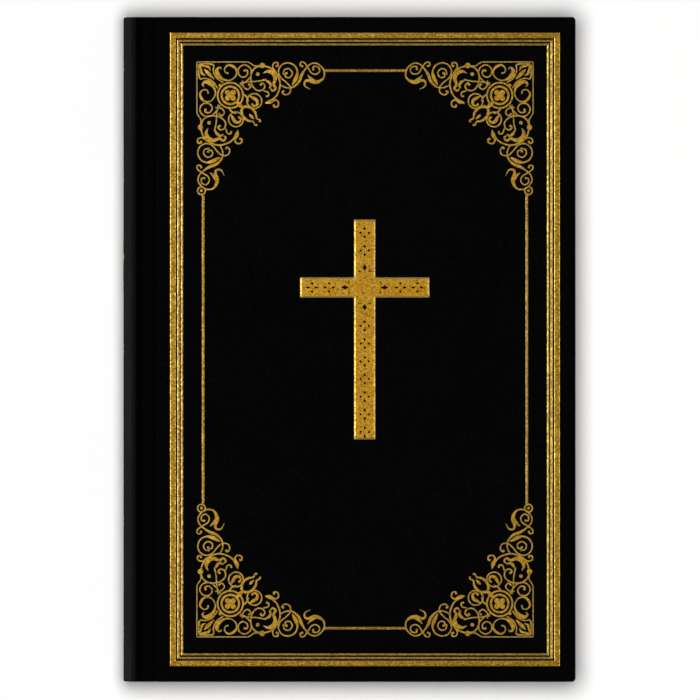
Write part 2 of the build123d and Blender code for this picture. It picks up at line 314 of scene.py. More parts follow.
class Effects:
    """Shader groups that more than one finish uses. Each one is built once."""

    @staticmethod
    @cache
    def grain() -> Tree:
        """Pebbles of leather divided by creases, in two sizes.

        Returns:
            A group that gives a height and a mask of the creases.
        """
        inputs = [("Vector", "Vector"), ("Pebbles per mm", "Float")]
        g, given, leave = tree_with(
            "leather grain", "ShaderNodeTree", inputs, [("Height", "Float"), ("Creases", "Float")]
        )
        per_metre = g.math("MULTIPLY", given["Pebbles per mm"], 1 / MM)
        warp = g.add("ShaderNodeTexNoise", Vector=given["Vector"], Scale=700.0, Detail=2.0)
        shift = g.add(
            "ShaderNodeVectorMath",
            {"operation": "MULTIPLY_ADD"},
            i0=warp.outputs["Color"],
            i1=(0.0006,) * 3,
            i2=given["Vector"],
        )
        cells = g.add(
            "ShaderNodeTexVoronoi",
            {"feature": "DISTANCE_TO_EDGE"},
            Vector=shift.outputs[0],
            Scale=per_metre,
            Randomness=0.9,
        )
        small = g.add(
            "ShaderNodeTexVoronoi",
            {"feature": "SMOOTH_F1"},
            Vector=shift.outputs[0],
            Scale=g.math("MULTIPLY", per_metre, 2.3),
        )
        pebble = g.ramp(cells.outputs["Distance"], 0.0, 0.22)
        fine = g.math("MULTIPLY", small.outputs["Distance"], 0.35)
        g.feed(leave, Height=g.math("SUBTRACT", pebble, fine))
        g.feed(leave, Creases=g.ramp(cells.outputs["Distance"], 0.0, 0.1, 1.0, 0.0))
        return g.tree

    @staticmethod
    @cache
    def speckle() -> Tree:
        """The granular break-up of foil pressed onto a grained surface.

        Returns:
            A group that gives a mask of bright grains, which the foil uses for its painted glints, and a
            height.
        """
        inputs = [("Vector", "Vector"), ("Grains per mm", "Float")]
        g, given, leave = tree_with(
            "foil speckle", "ShaderNodeTree", inputs, [("Grains", "Float"), ("Height", "Float")]
        )
        per_metre = g.math("MULTIPLY", given["Grains per mm"], 1 / MM)
        at = given["Vector"]
        coarse = g.add("ShaderNodeTexNoise", Vector=at, Scale=per_metre, Detail=3.0, Roughness=0.65)
        cells = g.add("ShaderNodeTexVoronoi", Vector=at, Scale=g.math("MULTIPLY", per_metre, 1.2))
        dots = g.add("ShaderNodeSeparateColor", Color=cells.outputs["Color"])
        clouds = g.math("MULTIPLY", coarse.outputs["Fac"], 0.95)
        blend = g.math("MULTIPLY_ADD", dots.outputs[0], 0.4, clouds)
        g.feed(leave, Grains=g.ramp(blend, 0.42, 0.92))
        g.feed(leave, Height=blend)
        return g.tree

    @staticmethod
    @cache
    def weave() -> Tree:
        """Threads crossing over and under each other.

        Returns:
            A group that gives a height and a mask of the gaps between threads.
        """
        inputs = [("Vector", "Vector"), ("Threads per mm", "Float")]
        g, given, leave = tree_with(
            "weave", "ShaderNodeTree", inputs, [("Height", "Float"), ("Gaps", "Float")]
        )
        turns = g.math("MULTIPLY", given["Threads per mm"], math.pi / MM)
        axes = g.add("ShaderNodeSeparateXYZ", Vector=given["Vector"])
        run = g.math("ADD", axes.outputs["X"], axes.outputs["Z"])
        warp = g.math("ABSOLUTE", g.math("SINE", g.math("MULTIPLY", run, turns)))
        weft = g.math("ABSOLUTE", g.math("SINE", g.math("MULTIPLY", axes.outputs["Y"], turns)))
        height = g.math("MAXIMUM", warp, weft)
        g.feed(leave, Height=height)
        g.feed(leave, Gaps=g.ramp(height, 0.3, 0.6, 1.0, 0.0))
        return g.tree

    @staticmethod
    @cache
    def handling() -> Tree:
        """Slow patches where a surface has been handled or has gathered dust.

        Returns:
            A group that gives a mask between 0 and 1.
        """
        inputs = [("Vector", "Vector"), ("Patch mm", "Float")]
        g, given, leave = tree_with("handling", "ShaderNodeTree", inputs, [("Mask", "Float")])
        scale = g.math("DIVIDE", 1 / MM, given["Patch mm"])
        at = given["Vector"]
        patch = g.add("ShaderNodeTexNoise", Vector=at, Scale=scale, Detail=4.0, Roughness=0.6)
        g.feed(leave, Mask=g.ramp(patch.outputs["Fac"], 0.35, 0.7))
        return g.tree


# ---- Finishes ------------------------------------------------------------------------------------


@dataclass(frozen=True)
class Finish:
    """A material of the book. Colours are linear red, green and blue."""

    name: str
    slot: str
    colour: Point3

    def start(self) -> tuple[Graph, Node, Socket, Material]:
        """Makes a material with an empty Principled surface.

        Returns:
            The graph, the Principled node, the object coordinates and the material.
        """
        material = bpy.data.materials.new(self.name)
        material.use_nodes = True
        g = Graph(material.node_tree)
        surface = material.node_tree.nodes["Principled BSDF"]
        place = g.add("ShaderNodeTexCoord").outputs["Object"]
        return g, surface, place, material

    def effect(self, g: Graph, tree: Tree, place: Socket, amount: float) -> Node:
        """Places a shared effect in this material.

        Args:
            g: The material's graph.
            tree: The effect.
            place: Coordinates that the effect follows.
            amount: The effect's second input, such as its grains in a millimetre.

        Returns:
            The group node.
        """
        return g.add("ShaderNodeGroup", {"node_tree": tree}, i0=place, i1=amount)

    def tint(self, share: float) -> tuple[float, float, float, float]:
        """Gives the finish's colour made lighter or darker.

        Args:
            share: Factor on each channel.

        Returns:
            The colour with full alpha.
        """
        return (*[min(c * share, 1.0) for c in self.colour], 1.0)


@dataclass(frozen=True)
class GrainedLeather(Finish):
    """Black leather with a fine pebbled grain, its creases duller than its pebbles and painted darker as
    shade.
    """

    pebbles: float = 2.1
    relief: float = 0.085
    roughness: tuple[float, float] = (0.4, 0.56)
    edge_matt: float = 0.5

    def build(self) -> Material:
        """Makes the material.

        Returns:
            The finished material.
        """
        g, surface, place, material = self.start()
        grain = self.effect(g, Effects.grain(), place, self.pebbles)
        rubbed = self.effect(g, Effects.handling(), place, 35.0)
        # The creases are painted darker than the pebbles: painted shade in the grain.
        colour = g.mix(grain.outputs["Creases"], self.tint(1.0), self.tint(0.45))
        worn = g.mix(g.math("MULTIPLY", rubbed.outputs["Mask"], 0.35), colour, self.tint(1.7))
        g.feed(surface, Base_Color=worn)
        rough = g.ramp(grain.outputs["Creases"], 0.0, 1.0, *self.roughness)
        rough = g.math("SUBTRACT", rough, g.math("MULTIPLY", rubbed.outputs["Mask"], 0.06))
        facing = g.add("ShaderNodeLayerWeight", Blend=0.5).outputs["Facing"]
        rough = g.math("ADD", rough, g.math("MULTIPLY", g.math("POWER", facing, 3.0), self.edge_matt))
        g.feed(surface, Roughness=rough)
        g.feed(surface, Normal=g.bump(grain.outputs["Height"], 0.9, self.relief))
        g.feed(surface, Specular_IOR_Level=0.03)
        return material


@dataclass(frozen=True)
class GoldFoil(Finish):
    """Hot-blocked gold foil, granular from the leather under it, its brightest grains painted lighter and
    yellower as glints.
    """

    glint_colour: Point3 = (1.0, 0.64, 0.09)
    dull: float = 0.5
    grains: float = 1.5
    relief: float = 0.12
    roughness: tuple[float, float] = (0.4, 0.56)

    def build(self) -> Material:
        """Makes the material.

        Returns:
            The finished material.
        """
        g, surface, place, material = self.start()
        speckle = self.effect(g, Effects.speckle(), place, self.grains)
        rubbed = self.effect(g, Effects.handling(), place, 9.0)
        colour = g.mix(g.ramp(speckle.outputs["Grains"], 0.0, 0.45), self.tint(self.dull), self.tint(1.0))
        # The brightest grains take a paler, yellower colour: painted glints. The darker grains are the foil's
        # own break-up.
        colour = g.mix(g.ramp(speckle.outputs["Grains"], 0.45, 1.0), colour, (*self.glint_colour, 1.0))
        colour = g.mix(g.math("MULTIPLY", rubbed.outputs["Mask"], 0.25), colour, self.tint(0.75))
        g.feed(surface, Base_Color=colour)
        smooth, rough = self.roughness
        g.feed(surface, Roughness=g.ramp(speckle.outputs["Grains"], 0.0, 1.0, rough, smooth))
        g.feed(surface, Normal=g.bump(speckle.outputs["Height"], 0.8, self.relief))
        g.feed(surface, Metallic=0.8)
        return material


@dataclass(frozen=True)
class ThinPaper(Finish):
    """Paper with faint fibres and a warm cast where it has aged."""

    aged: Point3 = (0.62, 0.5, 0.33)
    roughness: float = 0.85

    def build(self) -> Material:
        """Makes the material.

        Returns:
            The finished material.
        """
        g, surface, place, material = self.start()
        aged = self.effect(g, Effects.handling(), place, 22.0)
        fibre = g.add("ShaderNodeTexNoise", Vector=place, Scale=2600.0, Detail=4.0, Roughness=0.7)
        colour = g.mix(g.math("MULTIPLY", aged.outputs["Mask"], 0.22), self.tint(1.0), (*self.aged, 1.0))
        colour = g.mix(g.ramp(fibre.outputs["Fac"], 0.3, 0.7, 0.0, 0.12), colour, self.tint(0.8))
        g.feed(surface, Base_Color=colour)
        g.feed(surface, Normal=g.bump(fibre.outputs["Fac"], 0.35, 0.02))
        g.feed(surface, Roughness=self.roughness, Specular_IOR_Level=0.3)
        return material


@dataclass(frozen=True)
class GiltEdge(Finish):
    """Burnished gold on the edges of the leaves, streaked lighter and darker along them; the darker streaks
    are painted shade where the leaves part.
    """

    streak_length: float = 14.0
    streak_mm: float = 0.55

    def build(self) -> Material:
        """Makes the material.

        Returns:
            The finished material.
        """
        g, surface, place, material = self.start()
        along, across = 1.0 / (self.streak_length * MM), 1.0 / (self.streak_mm * MM)
        squeeze = g.add("ShaderNodeMapping", Vector=place, Scale=(along, along, across))
        lines = g.add("ShaderNodeTexNoise", Vector=squeeze.outputs[0], Scale=1.0, Detail=1.0, Roughness=0.5)
        patches = self.effect(g, Effects.handling(), place, 18.0)
        # The streaks' darker end is painted shade between the leaves; the lighter end is the burnish.
        colour = g.mix(g.ramp(lines.outputs["Fac"], 0.3, 0.75), self.tint(0.62), self.tint(1.15))
        g.feed(surface, Base_Color=colour)
        g.feed(surface, Roughness=g.ramp(patches.outputs["Mask"], 0.0, 1.0, 0.24, 0.42))
        g.feed(surface, Normal=g.bump(lines.outputs["Fac"], 0.6, 0.05))
        g.feed(surface, Metallic=0.9)
        return material


@dataclass(frozen=True)
class WovenCloth(Finish):
    """Cloth with its threads showing, the gaps between them painted darker as shade."""

    threads: float = 1.6
    gap_shade: float = 0.6

    def build(self) -> Material:
        """Makes the material.

        Returns:
            The finished material.
        """
        g, surface, place, material = self.start()
        weave = self.effect(g, Effects.weave(), place, self.threads)
        # The gaps between threads are painted darker: painted shade.
        gaps = g.math("MULTIPLY", weave.outputs["Gaps"], self.gap_shade)
        colour = g.mix(gaps, self.tint(1.0), self.tint(0.3))
        g.feed(surface, Base_Color=colour)
        g.feed(surface, Normal=g.bump(weave.outputs["Height"], 0.8, 0.08))
        g.feed(surface, Roughness=0.9, Sheen_Weight=0.2)
        return material


@dataclass(frozen=True)
class TwistedSilk(Finish):
    """Thread of the head and tail bands, its twist painted as lighter and darker bands: painted light and
    shade on the plies.
    """

    def build(self) -> Material:
        """Makes the material.

        Returns:
            The finished material.
        """
        g, surface, place, material = self.start()
        twist = g.add(
            "ShaderNodeTexWave", {"bands_direction": "DIAGONAL"}, Vector=place, Scale=1500.0, Distortion=1.5
        )
        # Lighter and darker bands along the twist: painted light and shade on the plies.
        colour = g.mix(twist.outputs["Fac"], self.tint(0.6), self.tint(1.1))
        g.feed(surface, Base_Color=colour)
        g.feed(surface, Normal=g.bump(twist.outputs["Fac"], 0.5, 0.04))
        g.feed(surface, Roughness=0.45, Sheen_Weight=0.3)
        return material


@dataclass(frozen=True)
class PressedFibre(Finish):
    """Board or stiff brown paper, flecked with fibres."""

    fleck_mm: float = 0.5

    def build(self) -> Material:
        """Makes the material.

        Returns:
            The finished material.
        """
        g, surface, place, material = self.start()
        scale = 1 / (self.fleck_mm * MM)
        fleck = g.add("ShaderNodeTexNoise", Vector=place, Scale=scale, Detail=5.0, Roughness=0.75)
        colour = g.mix(g.ramp(fleck.outputs["Fac"], 0.35, 0.7), self.tint(0.7), self.tint(1.2))
        g.feed(surface, Base_Color=colour)
        g.feed(surface, Normal=g.bump(fleck.outputs["Fac"], 0.5, 0.05))
        g.feed(surface, Roughness=0.92)
        return material


@dataclass(frozen=True)
class DriedGlue(Finish):
    """Flexible binding glue, uneven where it was brushed on."""

    def build(self) -> Material:
        """Makes the material.

        Returns:
            The finished material.
        """
        g, surface, place, material = self.start()
        stroke = g.add("ShaderNodeMapping", Vector=place, Scale=(1.0, 0.25, 1.0))
        brush = g.add("ShaderNodeTexNoise", Vector=stroke.outputs[0], Scale=900.0, Detail=4.0)
        g.feed(surface, Base_Color=g.mix(brush.outputs["Fac"], self.tint(0.75), self.tint(1.1)))
        g.feed(surface, Normal=g.bump(brush.outputs["Fac"], 0.5, 0.06))
        g.feed(surface, Roughness=0.4)
        return material


@dataclass(frozen=True)
class Palette:
    """Every finish of the book, each made once."""

    leather: Material
    foil: Material
    # The frame's foil is a darker copy of the cross's foil: painted shade.
    line_foil: Material
    # This rim finish and the next are paler, yellower copies of the foil: painted highlight.
    line_rim: Material
    rim: Material
    gilt: Material
    paper: Material
    endpaper: Material
    board: Material
    kraft: Material
    mull: Material
    glue: Material
    thread: Material
    silk_gold: Material
    silk_dark: Material

    @classmethod
    def mixed(cls) -> "Palette":
        """Mixes the finishes in the book's colours."""
        black, gold = (0.0016, 0.0016, 0.0015), "gold_foil"
        return cls(
            leather=GrainedLeather("grained black leather", "cover_leather", black).build(),
            foil=GoldFoil("gold foil", gold, (0.8, 0.385, 0.012)).build(),
            # The frame's foil is painted darker than the cross's foil: painted shade.
            line_foil=GoldFoil("gold foil of the frame with painted shade", gold, (0.52, 0.246, 0.0075), dull=0.6).build(),
            # Both rim finishes are painted paler and yellower than their foil: painted highlight.
            line_rim=GoldFoil("gold foil line rims with painted highlight", gold, (0.56, 0.39, 0.1), dull=0.6, relief=0.06).build(),
            rim=GoldFoil("gold foil rims with painted highlight", gold, (0.8, 0.52, 0.09), dull=0.6, relief=0.06).build(),
            gilt=GiltEdge("gilt leaf edges", "bible_paper", (0.8, 0.53, 0.16)).build(),
            paper=ThinPaper("thin printing paper", "bible_paper", (0.83, 0.79, 0.69)).build(),
            endpaper=ThinPaper("endpaper", "endpaper", (0.78, 0.72, 0.58), roughness=0.75).build(),
            board=PressedFibre("binder's board", "board", (0.3, 0.25, 0.2)).build(),
            kraft=PressedFibre("brown lining paper", "lining_paper", (0.4, 0.25, 0.12), fleck_mm=0.3).build(),
            mull=WovenCloth("mull cloth", "mull_cloth", (0.72, 0.67, 0.55)).build(),
            glue=DriedGlue("binding glue", "glue", (0.62, 0.52, 0.32)).build(),
            thread=TwistedSilk("linen thread", "thread", (0.74, 0.69, 0.57)).build(),
            silk_gold=TwistedSilk("gold silk", "band_cloth", (0.62, 0.4, 0.1)).build(),
            silk_dark=TwistedSilk("dark silk", "band_cloth", (0.03, 0.012, 0.01)).build(),
        )


# ---- Meshes --------------------------------------------------------------------------------------


def in_metres(point: Sequence[float]) -> Point3:
    """Gives a point in millimetres in metres."""
    return tuple(float(c) * MM for c in point)


def new_piece(
    name: str,
    points: Sequence[Sequence[float]],
    faces: Sequence[Sequence[int]],
    finishes: Sequence[Material],
    sharp_degrees: float = 38.0,
    slots: Sequence[int] = (),
) -> Piece:
    """Makes an object from points in millimetres.

    Args:
        name: The piece's name.
        points: Its points, in millimetres.
        faces: The corner numbers of each face, seen anticlockwise from outside.
        finishes: Its materials.
        sharp_degrees: Edges that turn more than this stay sharp.
        slots: Which material each face has; the first one when this is empty.

    Returns:
        The new object.
    """
    mesh = bpy.data.meshes.new(name)
    mesh.from_pydata((np.asarray(points, float) * MM).tolist(), [], [tuple(f) for f in faces])
    if slots:
        mesh.polygons.foreach_set("material_index", slots)
    return stand(name, mesh, finishes, sharp_degrees)


def stand(
    name: str, mesh: Mesh, finishes: Sequence[Material], sharp_degrees: float = 38.0
) -> Piece:
    """Puts a finished mesh in the scene, shaded smooth between sharp edges.

    Args:
        name: The piece's name.
        mesh: The mesh, in metres.
        finishes: Materials to add to it.
        sharp_degrees: Edges that turn more than this stay sharp.

    Returns:
        The new object.
    """
    for finish in finishes:
        mesh.materials.append(finish)
    mesh.shade_smooth()
    mesh.set_sharp_from_angle(angle=math.radians(sharp_degrees))
    piece = bpy.data.objects.new(name, mesh)
    bpy.context.scene.collection.objects.link(piece)
    return piece


def grown(
    name: str, mesh: Mesh, tree: Tree, values: dict[str, Value]
) -> Mesh:
    """Runs a geometry tree on a mesh and keeps the result as a plain mesh.

    Args:
        name: Name for the result.
        mesh: The mesh that the tree starts from.
        tree: The tree.
        values: The tree's inputs by name.

    Returns:
        The result.
    """
    carrier = bpy.data.objects.new(name + "_carrier", mesh)
    bpy.context.scene.collection.objects.link(carrier)
    modifier = carrier.modifiers.new(tree.name, "NODES")
    modifier.node_group = tree
    for item in tree.interface.items_tree:
        if item.item_type == "SOCKET" and item.in_out == "INPUT" and item.name in values:
            modifier[item.identifier] = values[item.name]
    evaluated = carrier.evaluated_get(bpy.context.evaluated_depsgraph_get())
    result = bpy.data.meshes.new_from_object(evaluated)
    result.name = name
    carrier.modifiers.remove(modifier)
    bpy.data.objects.remove(carrier)
    return result


def welded(mesh: Mesh, distance: float = 0.001) -> None:
    """Merges points that lie together and turns every face outwards.

    Args:
        mesh: The mesh, in metres.
        distance: Points closer than this many millimetres are merged.
    """
    work = bmesh.new()
    work.from_mesh(mesh)
    bmesh.ops.remove_doubles(work, verts=work.verts, dist=distance * MM)
    bmesh.ops.recalc_face_normals(work, faces=work.faces)
    work.to_mesh(mesh)
    work.free()


def joined(name: str, parts: Sequence[Piece]) -> Piece:
    """Joins pieces into the first one.

    Args:
        name: Name of the result.
        parts: The pieces.

    Returns:
        The joined piece.
    """
    with bpy.context.temp_override(active_object=parts[0], selected_editable_objects=list(parts)):
        bpy.ops.object.join()
    parts[0].name = name
    parts[0].data.name = name
    return parts[0]


def rounded_path(corners: Sequence[tuple[float, float, float]], steps: int = 6) -> list[Point2]:
    """Draws an open line through corners and rounds each one.

    Args:
        corners: X, Z and rounding radius of each corner; the ends have radius 0.
        steps: Segments in each rounding.

    Returns:
        The points of the line.
    """
    path: list[Point2] = []
    for n, (x, z, radius) in enumerate(corners):
        here = np.array([x, z])
        if radius == 0:
            path.append((x, z))
            continue
        before = np.array(corners[n - 1][:2]) - here
        after = np.array(corners[n + 1][:2]) - here
        before, after = before / np.linalg.norm(before), after / np.linalg.norm(after)
        half = math.acos(max(-1.0, min(1.0, float(before @ after)))) / 2
        reach = radius / math.tan(half)
        for step in range(steps + 1):
            share = step / steps
            start, end = here + before * reach, here + after * reach
            bend = start * (1 - share) ** 2 + 2 * here * share * (1 - share) + end * share**2
            path.append((float(bend[0]), float(bend[1])))
    return path


def arc_path(radius: float, low: float, high: float, steps: int) -> list[Point2]:
    """Follows a rounded layer of the spine.

    Args:
        radius: The layer's radius.
        low: Height of the first point.
        high: Height of the last point.
        steps: Number of segments.

    Returns:
        X and Z of each point.
    """
    return [(LAYOUT.arc_x(z, radius), float(z)) for z in np.linspace(low, high, steps + 1)]


def strip(
    name: str,
    path: Sequence[Point2],
    section: Callable[[int], Sequence[Point2]],
    finishes: Sequence[Material],
) -> Piece:
    """Sweeps a closed section along a line in the XZ plane.

    Args:
        name: The piece's name.
        path: The line, with the outside of the book on its left.
        section: Gives, for a point of the path, the section's corners as Y and height off the line,
            anticlockwise seen along the line.
        finishes: The piece's materials.

    Returns:
        The new piece.
    """
    line = np.array(path, float)
    along = np.gradient(line, axis=0)
    along /= np.linalg.norm(along, axis=1)[:, None]
    out = np.stack([-along[:, 1], along[:, 0]], axis=1)
    points: list[Point3] = []
    for n, (x, z) in enumerate(line):
        points += [(x + out[n, 0] * h, y, z + out[n, 1] * h) for y, h in section(n)]
    across = len(section(0))
    faces: list[Face] = [tuple(reversed(range(across)))]
    for n in range(len(line) - 1):
        for m in range(across):
            a, b = n * across + m, n * across + (m + 1) % across
            faces.append((a, b, b + across, a + across))
    faces.append(tuple(range(len(points) - across, len(points))))
    return new_piece(name, points, faces, finishes)


# ---- The leather case ----------------------------------------------------------------------------


@dataclass
class LeatherSection:
    """A sheet of leather from tail to head, its ends rounded where it is turned in."""

    half: float = LAYOUT.head_y
    thickness: float = LAYOUT.leather
    nose: float = 0.5
    lip: float = 1.1
    lip_reach: float = 0.9
    stations: int = 24

    def corners(self, lip_share: float = 0.0) -> list[Point2]:
        """Gives the section's outline as Y and height off the middle of the sheet.

        Args:
            lip_share: How much of the turned-in lip at the head and tail there is, from 0 to 1.

        Returns:
            The outline's corners.
        """
        up, down = self.thickness / 2, -self.thickness / 2
        under = down - self.lip_reach * lip_share
        nose = self.nose
        angles = np.linspace(math.pi / 2, 0, 5)
        turn = [(nose * (1 - math.cos(a)), nose * (1 - math.sin(a))) for a in angles]
        outer = [(self.half - dy, up - dz) for dy, dz in turn]
        reach = self.lip if lip_share > 0 else nose
        inner = [(self.half - 0.12, under), (self.half - reach, under), (self.half - self.lip, down)]
        end = outer + inner
        head = [(y, h) for y, h in reversed(end)]
        tail = [(-y, h) for y, h in end]
        spread = np.linspace(-self.half + 2, self.half - 2, self.stations)
        return [*tail, *[(float(y), down) for y in spread], *head, *[(float(y), up) for y in spread[::-1]]]


@dataclass
class CoverLeather:
    """The leather over one board, turned in over three edges, with the strip that runs to the joint."""

    side: Side
    palette: Palette
    edge_radius: float = 0.9
    corner_radius: float = 1.3
    turn_in: float = 15.0
    steps: int = 6

    def ring(self, inset: float, z: float) -> list[Point3]:
        """Draws a rounded rectangle inside the cover's outline.

        Args:
            inset: Distance in from the head, tail and fore-edge; the hinge side stops at the board.
            z: Height of the ring.

        Returns:
            The ring's points, anticlockwise seen from above.
        """
        hinge = min(inset, LAYOUT.leather + 0.02)
        x0, x1 = LAYOUT.board_x + hinge, LAYOUT.fore_x - inset
        y1 = LAYOUT.head_y - inset
        points: list[Point3] = []
        for sx, sy, start in ((1, -1, -90), (1, 1, 0), (-1, 1, 90), (-1, -1, 180)):
            plain = self.corner_radius if sx > 0 else self.edge_radius
            radius = max(plain - (inset if sx > 0 else hinge), 0.15)
            cx, cy = (x1 - radius if sx > 0 else x0 + radius), sy * (y1 - radius)
            for angle in np.linspace(start, start + 90, self.steps + 1):
                a = math.radians(angle)
                points.append((cx + radius * math.cos(a), cy + radius * math.sin(a), z))
        return points

    def profile(self) -> list[Point2]:
        """Follows the leather from the middle of the face over the edge and back under the board.

        Returns:
            Inset and height of each ring.
        """
        lay = LAYOUT
        r = self.edge_radius
        rings = [(r + 2.2, lay.face_z), (r + 0.4, lay.face_z)]
        for angle in np.linspace(90, 0, self.steps + 1):
            a = math.radians(angle)
            rings.append((r - r * math.cos(a), lay.face_z - r + r * math.sin(a)))
        low = 0.45
        for angle in np.linspace(0, -90, self.steps):
            a = math.radians(angle)
            rings.append((low - low * math.cos(a), lay.turn_in_z + low + low * math.sin(a)))
        rings += [(low + 0.5, lay.turn_in_z), (self.turn_in - 0.5, lay.turn_in_z)]
        rings += [(self.turn_in, lay.turn_in_z + 0.35), (self.turn_in, lay.board_z)]
        return [*rings, (lay.leather, lay.board_z), (lay.leather, lay.outer_z)]

    def shell(self) -> Piece:
        """Builds the leather that wraps the board.

        Returns:
            The wrap, mirrored for the back cover.
        """
        rings = [self.ring(inset, z) for inset, z in self.profile()]
        around = len(rings[0])
        faces: list[Face] = [tuple(range(around))]
        for n in range(len(rings) - 1):
            for m in range(around):
                a, b = n * around + m, n * around + (m + 1) % around
                faces.append((a, a + around, b + around, b))
        faces.append(tuple(reversed(range((len(rings) - 1) * around, len(rings) * around))))
        points = self.side.flip([p for ring in rings for p in ring])
        return new_piece("shell", points, self.side.turn(faces), [self.palette.leather])

    def band(self) -> Piece:
        """Builds the strip that leaves the board's edge and runs to the joint.

        Returns:
            The strip, mirrored for the back cover.
        """
        lay = LAYOUT
        level = lay.turn_in_z + lay.leather / 2
        wall = lay.board_x + lay.leather / 2 - 0.02
        corners = [(wall, lay.face_z - 1.3, 0.0), (wall, level, 0.9), (lay.band_x, level, 0.0)]
        path = rounded_path(list(reversed(corners)), self.steps)
        section = LeatherSection()
        piece = strip("band", path, lambda n: section.corners(), [self.palette.leather])
        return mirrored(piece) if self.side is Side.BACK else piece

    def build(self) -> Piece:
        """Builds the cover's leather and puts it on its cover.

        Returns:
            The wrap and the strip as one piece.
        """
        piece = joined(f"{self.side.value}_cover_wrap", [self.shell(), self.band()])
        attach(piece, f"{self.side.value}_cover")
        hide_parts(f"{self.side.value}_cover_leather")
        return piece


def mirrored(piece: Piece) -> Piece:
    """Mirrors a piece about the book's middle plane and keeps its faces outwards.

    Args:
        piece: A piece built for the front of the book.

    Returns:
        The same piece, now on the back.
    """
    mesh = piece.data
    for vertex in mesh.vertices:
        vertex.co.z = 2 * LAYOUT.mid_z * MM - vertex.co.z
    mesh.flip_normals()
    mesh.update()
    return piece


@dataclass
class SpineLeather:
    """The leather from joint to joint: the rounded spine, and a strip in each joint."""

    palette: Palette
    crest: Point2 = (-75.0, 39.2)
    groove_start: float = -73.62
    crest_radius: float = 0.75
    groove_radius: float = 0.55
    arc_half: float = 17.2
    joint_steps: int = 26

    def joint_path(self) -> list[Point2]:
        """Follows the middle of the leather from a shoulder's crest to the strip on the board.

        Returns:
            Evenly spaced points in x and z, in millimetres.
        """
        level = LAYOUT.turn_in_z + LAYOUT.leather / 2
        corners = [
            (self.crest[0], self.crest[1], 0.0),
            (self.groove_start, level, self.groove_radius),
            (LAYOUT.band_x, level, 0.0),
        ]
        coarse = np.array(rounded_path(corners, 8))
        length = np.concatenate([[0], np.cumsum(np.linalg.norm(np.diff(coarse, axis=0), axis=1))])
        even = np.linspace(0, length[-1], self.joint_steps + 1)
        xs, zs = np.interp(even, length, coarse[:, 0]), np.interp(even, length, coarse[:, 1])
        return [(float(x), float(z)) for x, z in zip(xs, zs)]

    def joint(self, side: Side) -> Piece:
        """Builds the strip in the joint beside one cover.

        Args:
            side: Which cover.

        Returns:
            The strip.
        """
        path = self.joint_path()
        section = LeatherSection()
        name = f"{side.value}_joint_strip"
        piece = strip(name, path, lambda n: section.corners(), [self.palette.leather])
        if side is Side.BACK:
            mirrored(piece)
        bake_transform(piece)
        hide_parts(f"{side.value}_joint_leather")
        return piece

    def back(self) -> Piece:
        """Builds the part that stays with the text block, with its head and tail caps.

        Returns:
            The piece, on the text block.
        """
        lay = LAYOUT
        middle = lay.spine_radius - lay.leather / 2
        top = lay.mid_z + self.arc_half
        arc = arc_path(middle, lay.mid_z - self.arc_half, top, 34)
        rise = (self.crest[0] - 0.25, self.crest[1] + 0.02)
        shoulder = rounded_path([(*arc[-1], 0.0), (*rise, self.crest_radius), (*self.crest, 0.0)], 7)
        low = [(x, 2 * lay.mid_z - z) for x, z in reversed(shoulder)]
        path = [*low, *arc[1:-1], *shoulder]
        section = LeatherSection()

        def outline(n: int) -> list[Point2]:
            """Gives the section with the cap's lip on the rounded part of the spine only."""
            off = abs(path[n][1] - lay.mid_z)
            return section.corners(max(0.02, min(1.0, (self.arc_half + 0.6 - off) / 1.6)))

        piece = strip("spine_wrap", path, outline, [self.palette.leather])
        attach(piece, "text_block")
        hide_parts("spine_leather")
        return piece

    def build(self) -> list[Piece]:
        """Builds the spine's leather and both joints."""
        return [self.back(), self.joint(Side.FRONT), self.joint(Side.BACK)]


# ---- Gold foil -----------------------------------------------------------------------------------


@dataclass(frozen=True)
class Stroke:
    """A line of foil that swells and thins: points as distance in along the head, distance in along
    the side, and half width."""

    points: tuple[Point3, ...]
    closed: bool = False

    def swapped(self) -> "Stroke":
        """Gives the stroke mirrored about the corner's diagonal."""
        return Stroke(tuple((v, u, w) for u, v, w in self.points), self.closed)

    def smooth(self, steps: int = 6) -> np.ndarray:
        """Draws a smooth line through the stroke's points.

        Args:
            steps: Points in each stretch.

        Returns:
            Rows of u, v and half width.
        """
        p = np.array(self.points, float)
        if self.closed:
            p = np.vstack([p[-1], p, p[0], p[1]])
        else:
            p = np.vstack([2 * p[0] - p[1], p, 2 * p[-1] - p[-2]])
        rows = []
        for n in range(1, len(p) - 2):
            for t in np.arange(steps) / steps:
                a, b, c, d = p[n - 1 : n + 3]
                square, cube = 2 * a - 5 * b + 4 * c - d, 3 * b - a - 3 * c + d
                rows.append(0.5 * (2 * b + (c - a) * t + square * t**2 + cube * t**3))
        if not self.closed:
            rows.append(p[-2])
        rows = np.array(rows)
        rows[:, 2] = np.maximum(rows[:, 2], 0.05)
        return rows


def ring(u: float, v: float, radius: float, half_width: float = 0.25) -> Stroke:
    """Makes a round stroke.

    Args:
        u: Its centre along the head.
        v: Its centre along the side.
        radius: Its radius.
        half_width: Half the width of the foil.

    Returns:
        The stroke.
    """
    angles = [math.radians(a) for a in range(0, 360, 36)]
    round_it = [(u + radius * math.cos(a), v + radius * math.sin(a), half_width) for a in angles]
    return Stroke(tuple(round_it), True)


def line(*points: Point3) -> Stroke:
    """Makes an open stroke through points."""
    return Stroke(tuple(points))


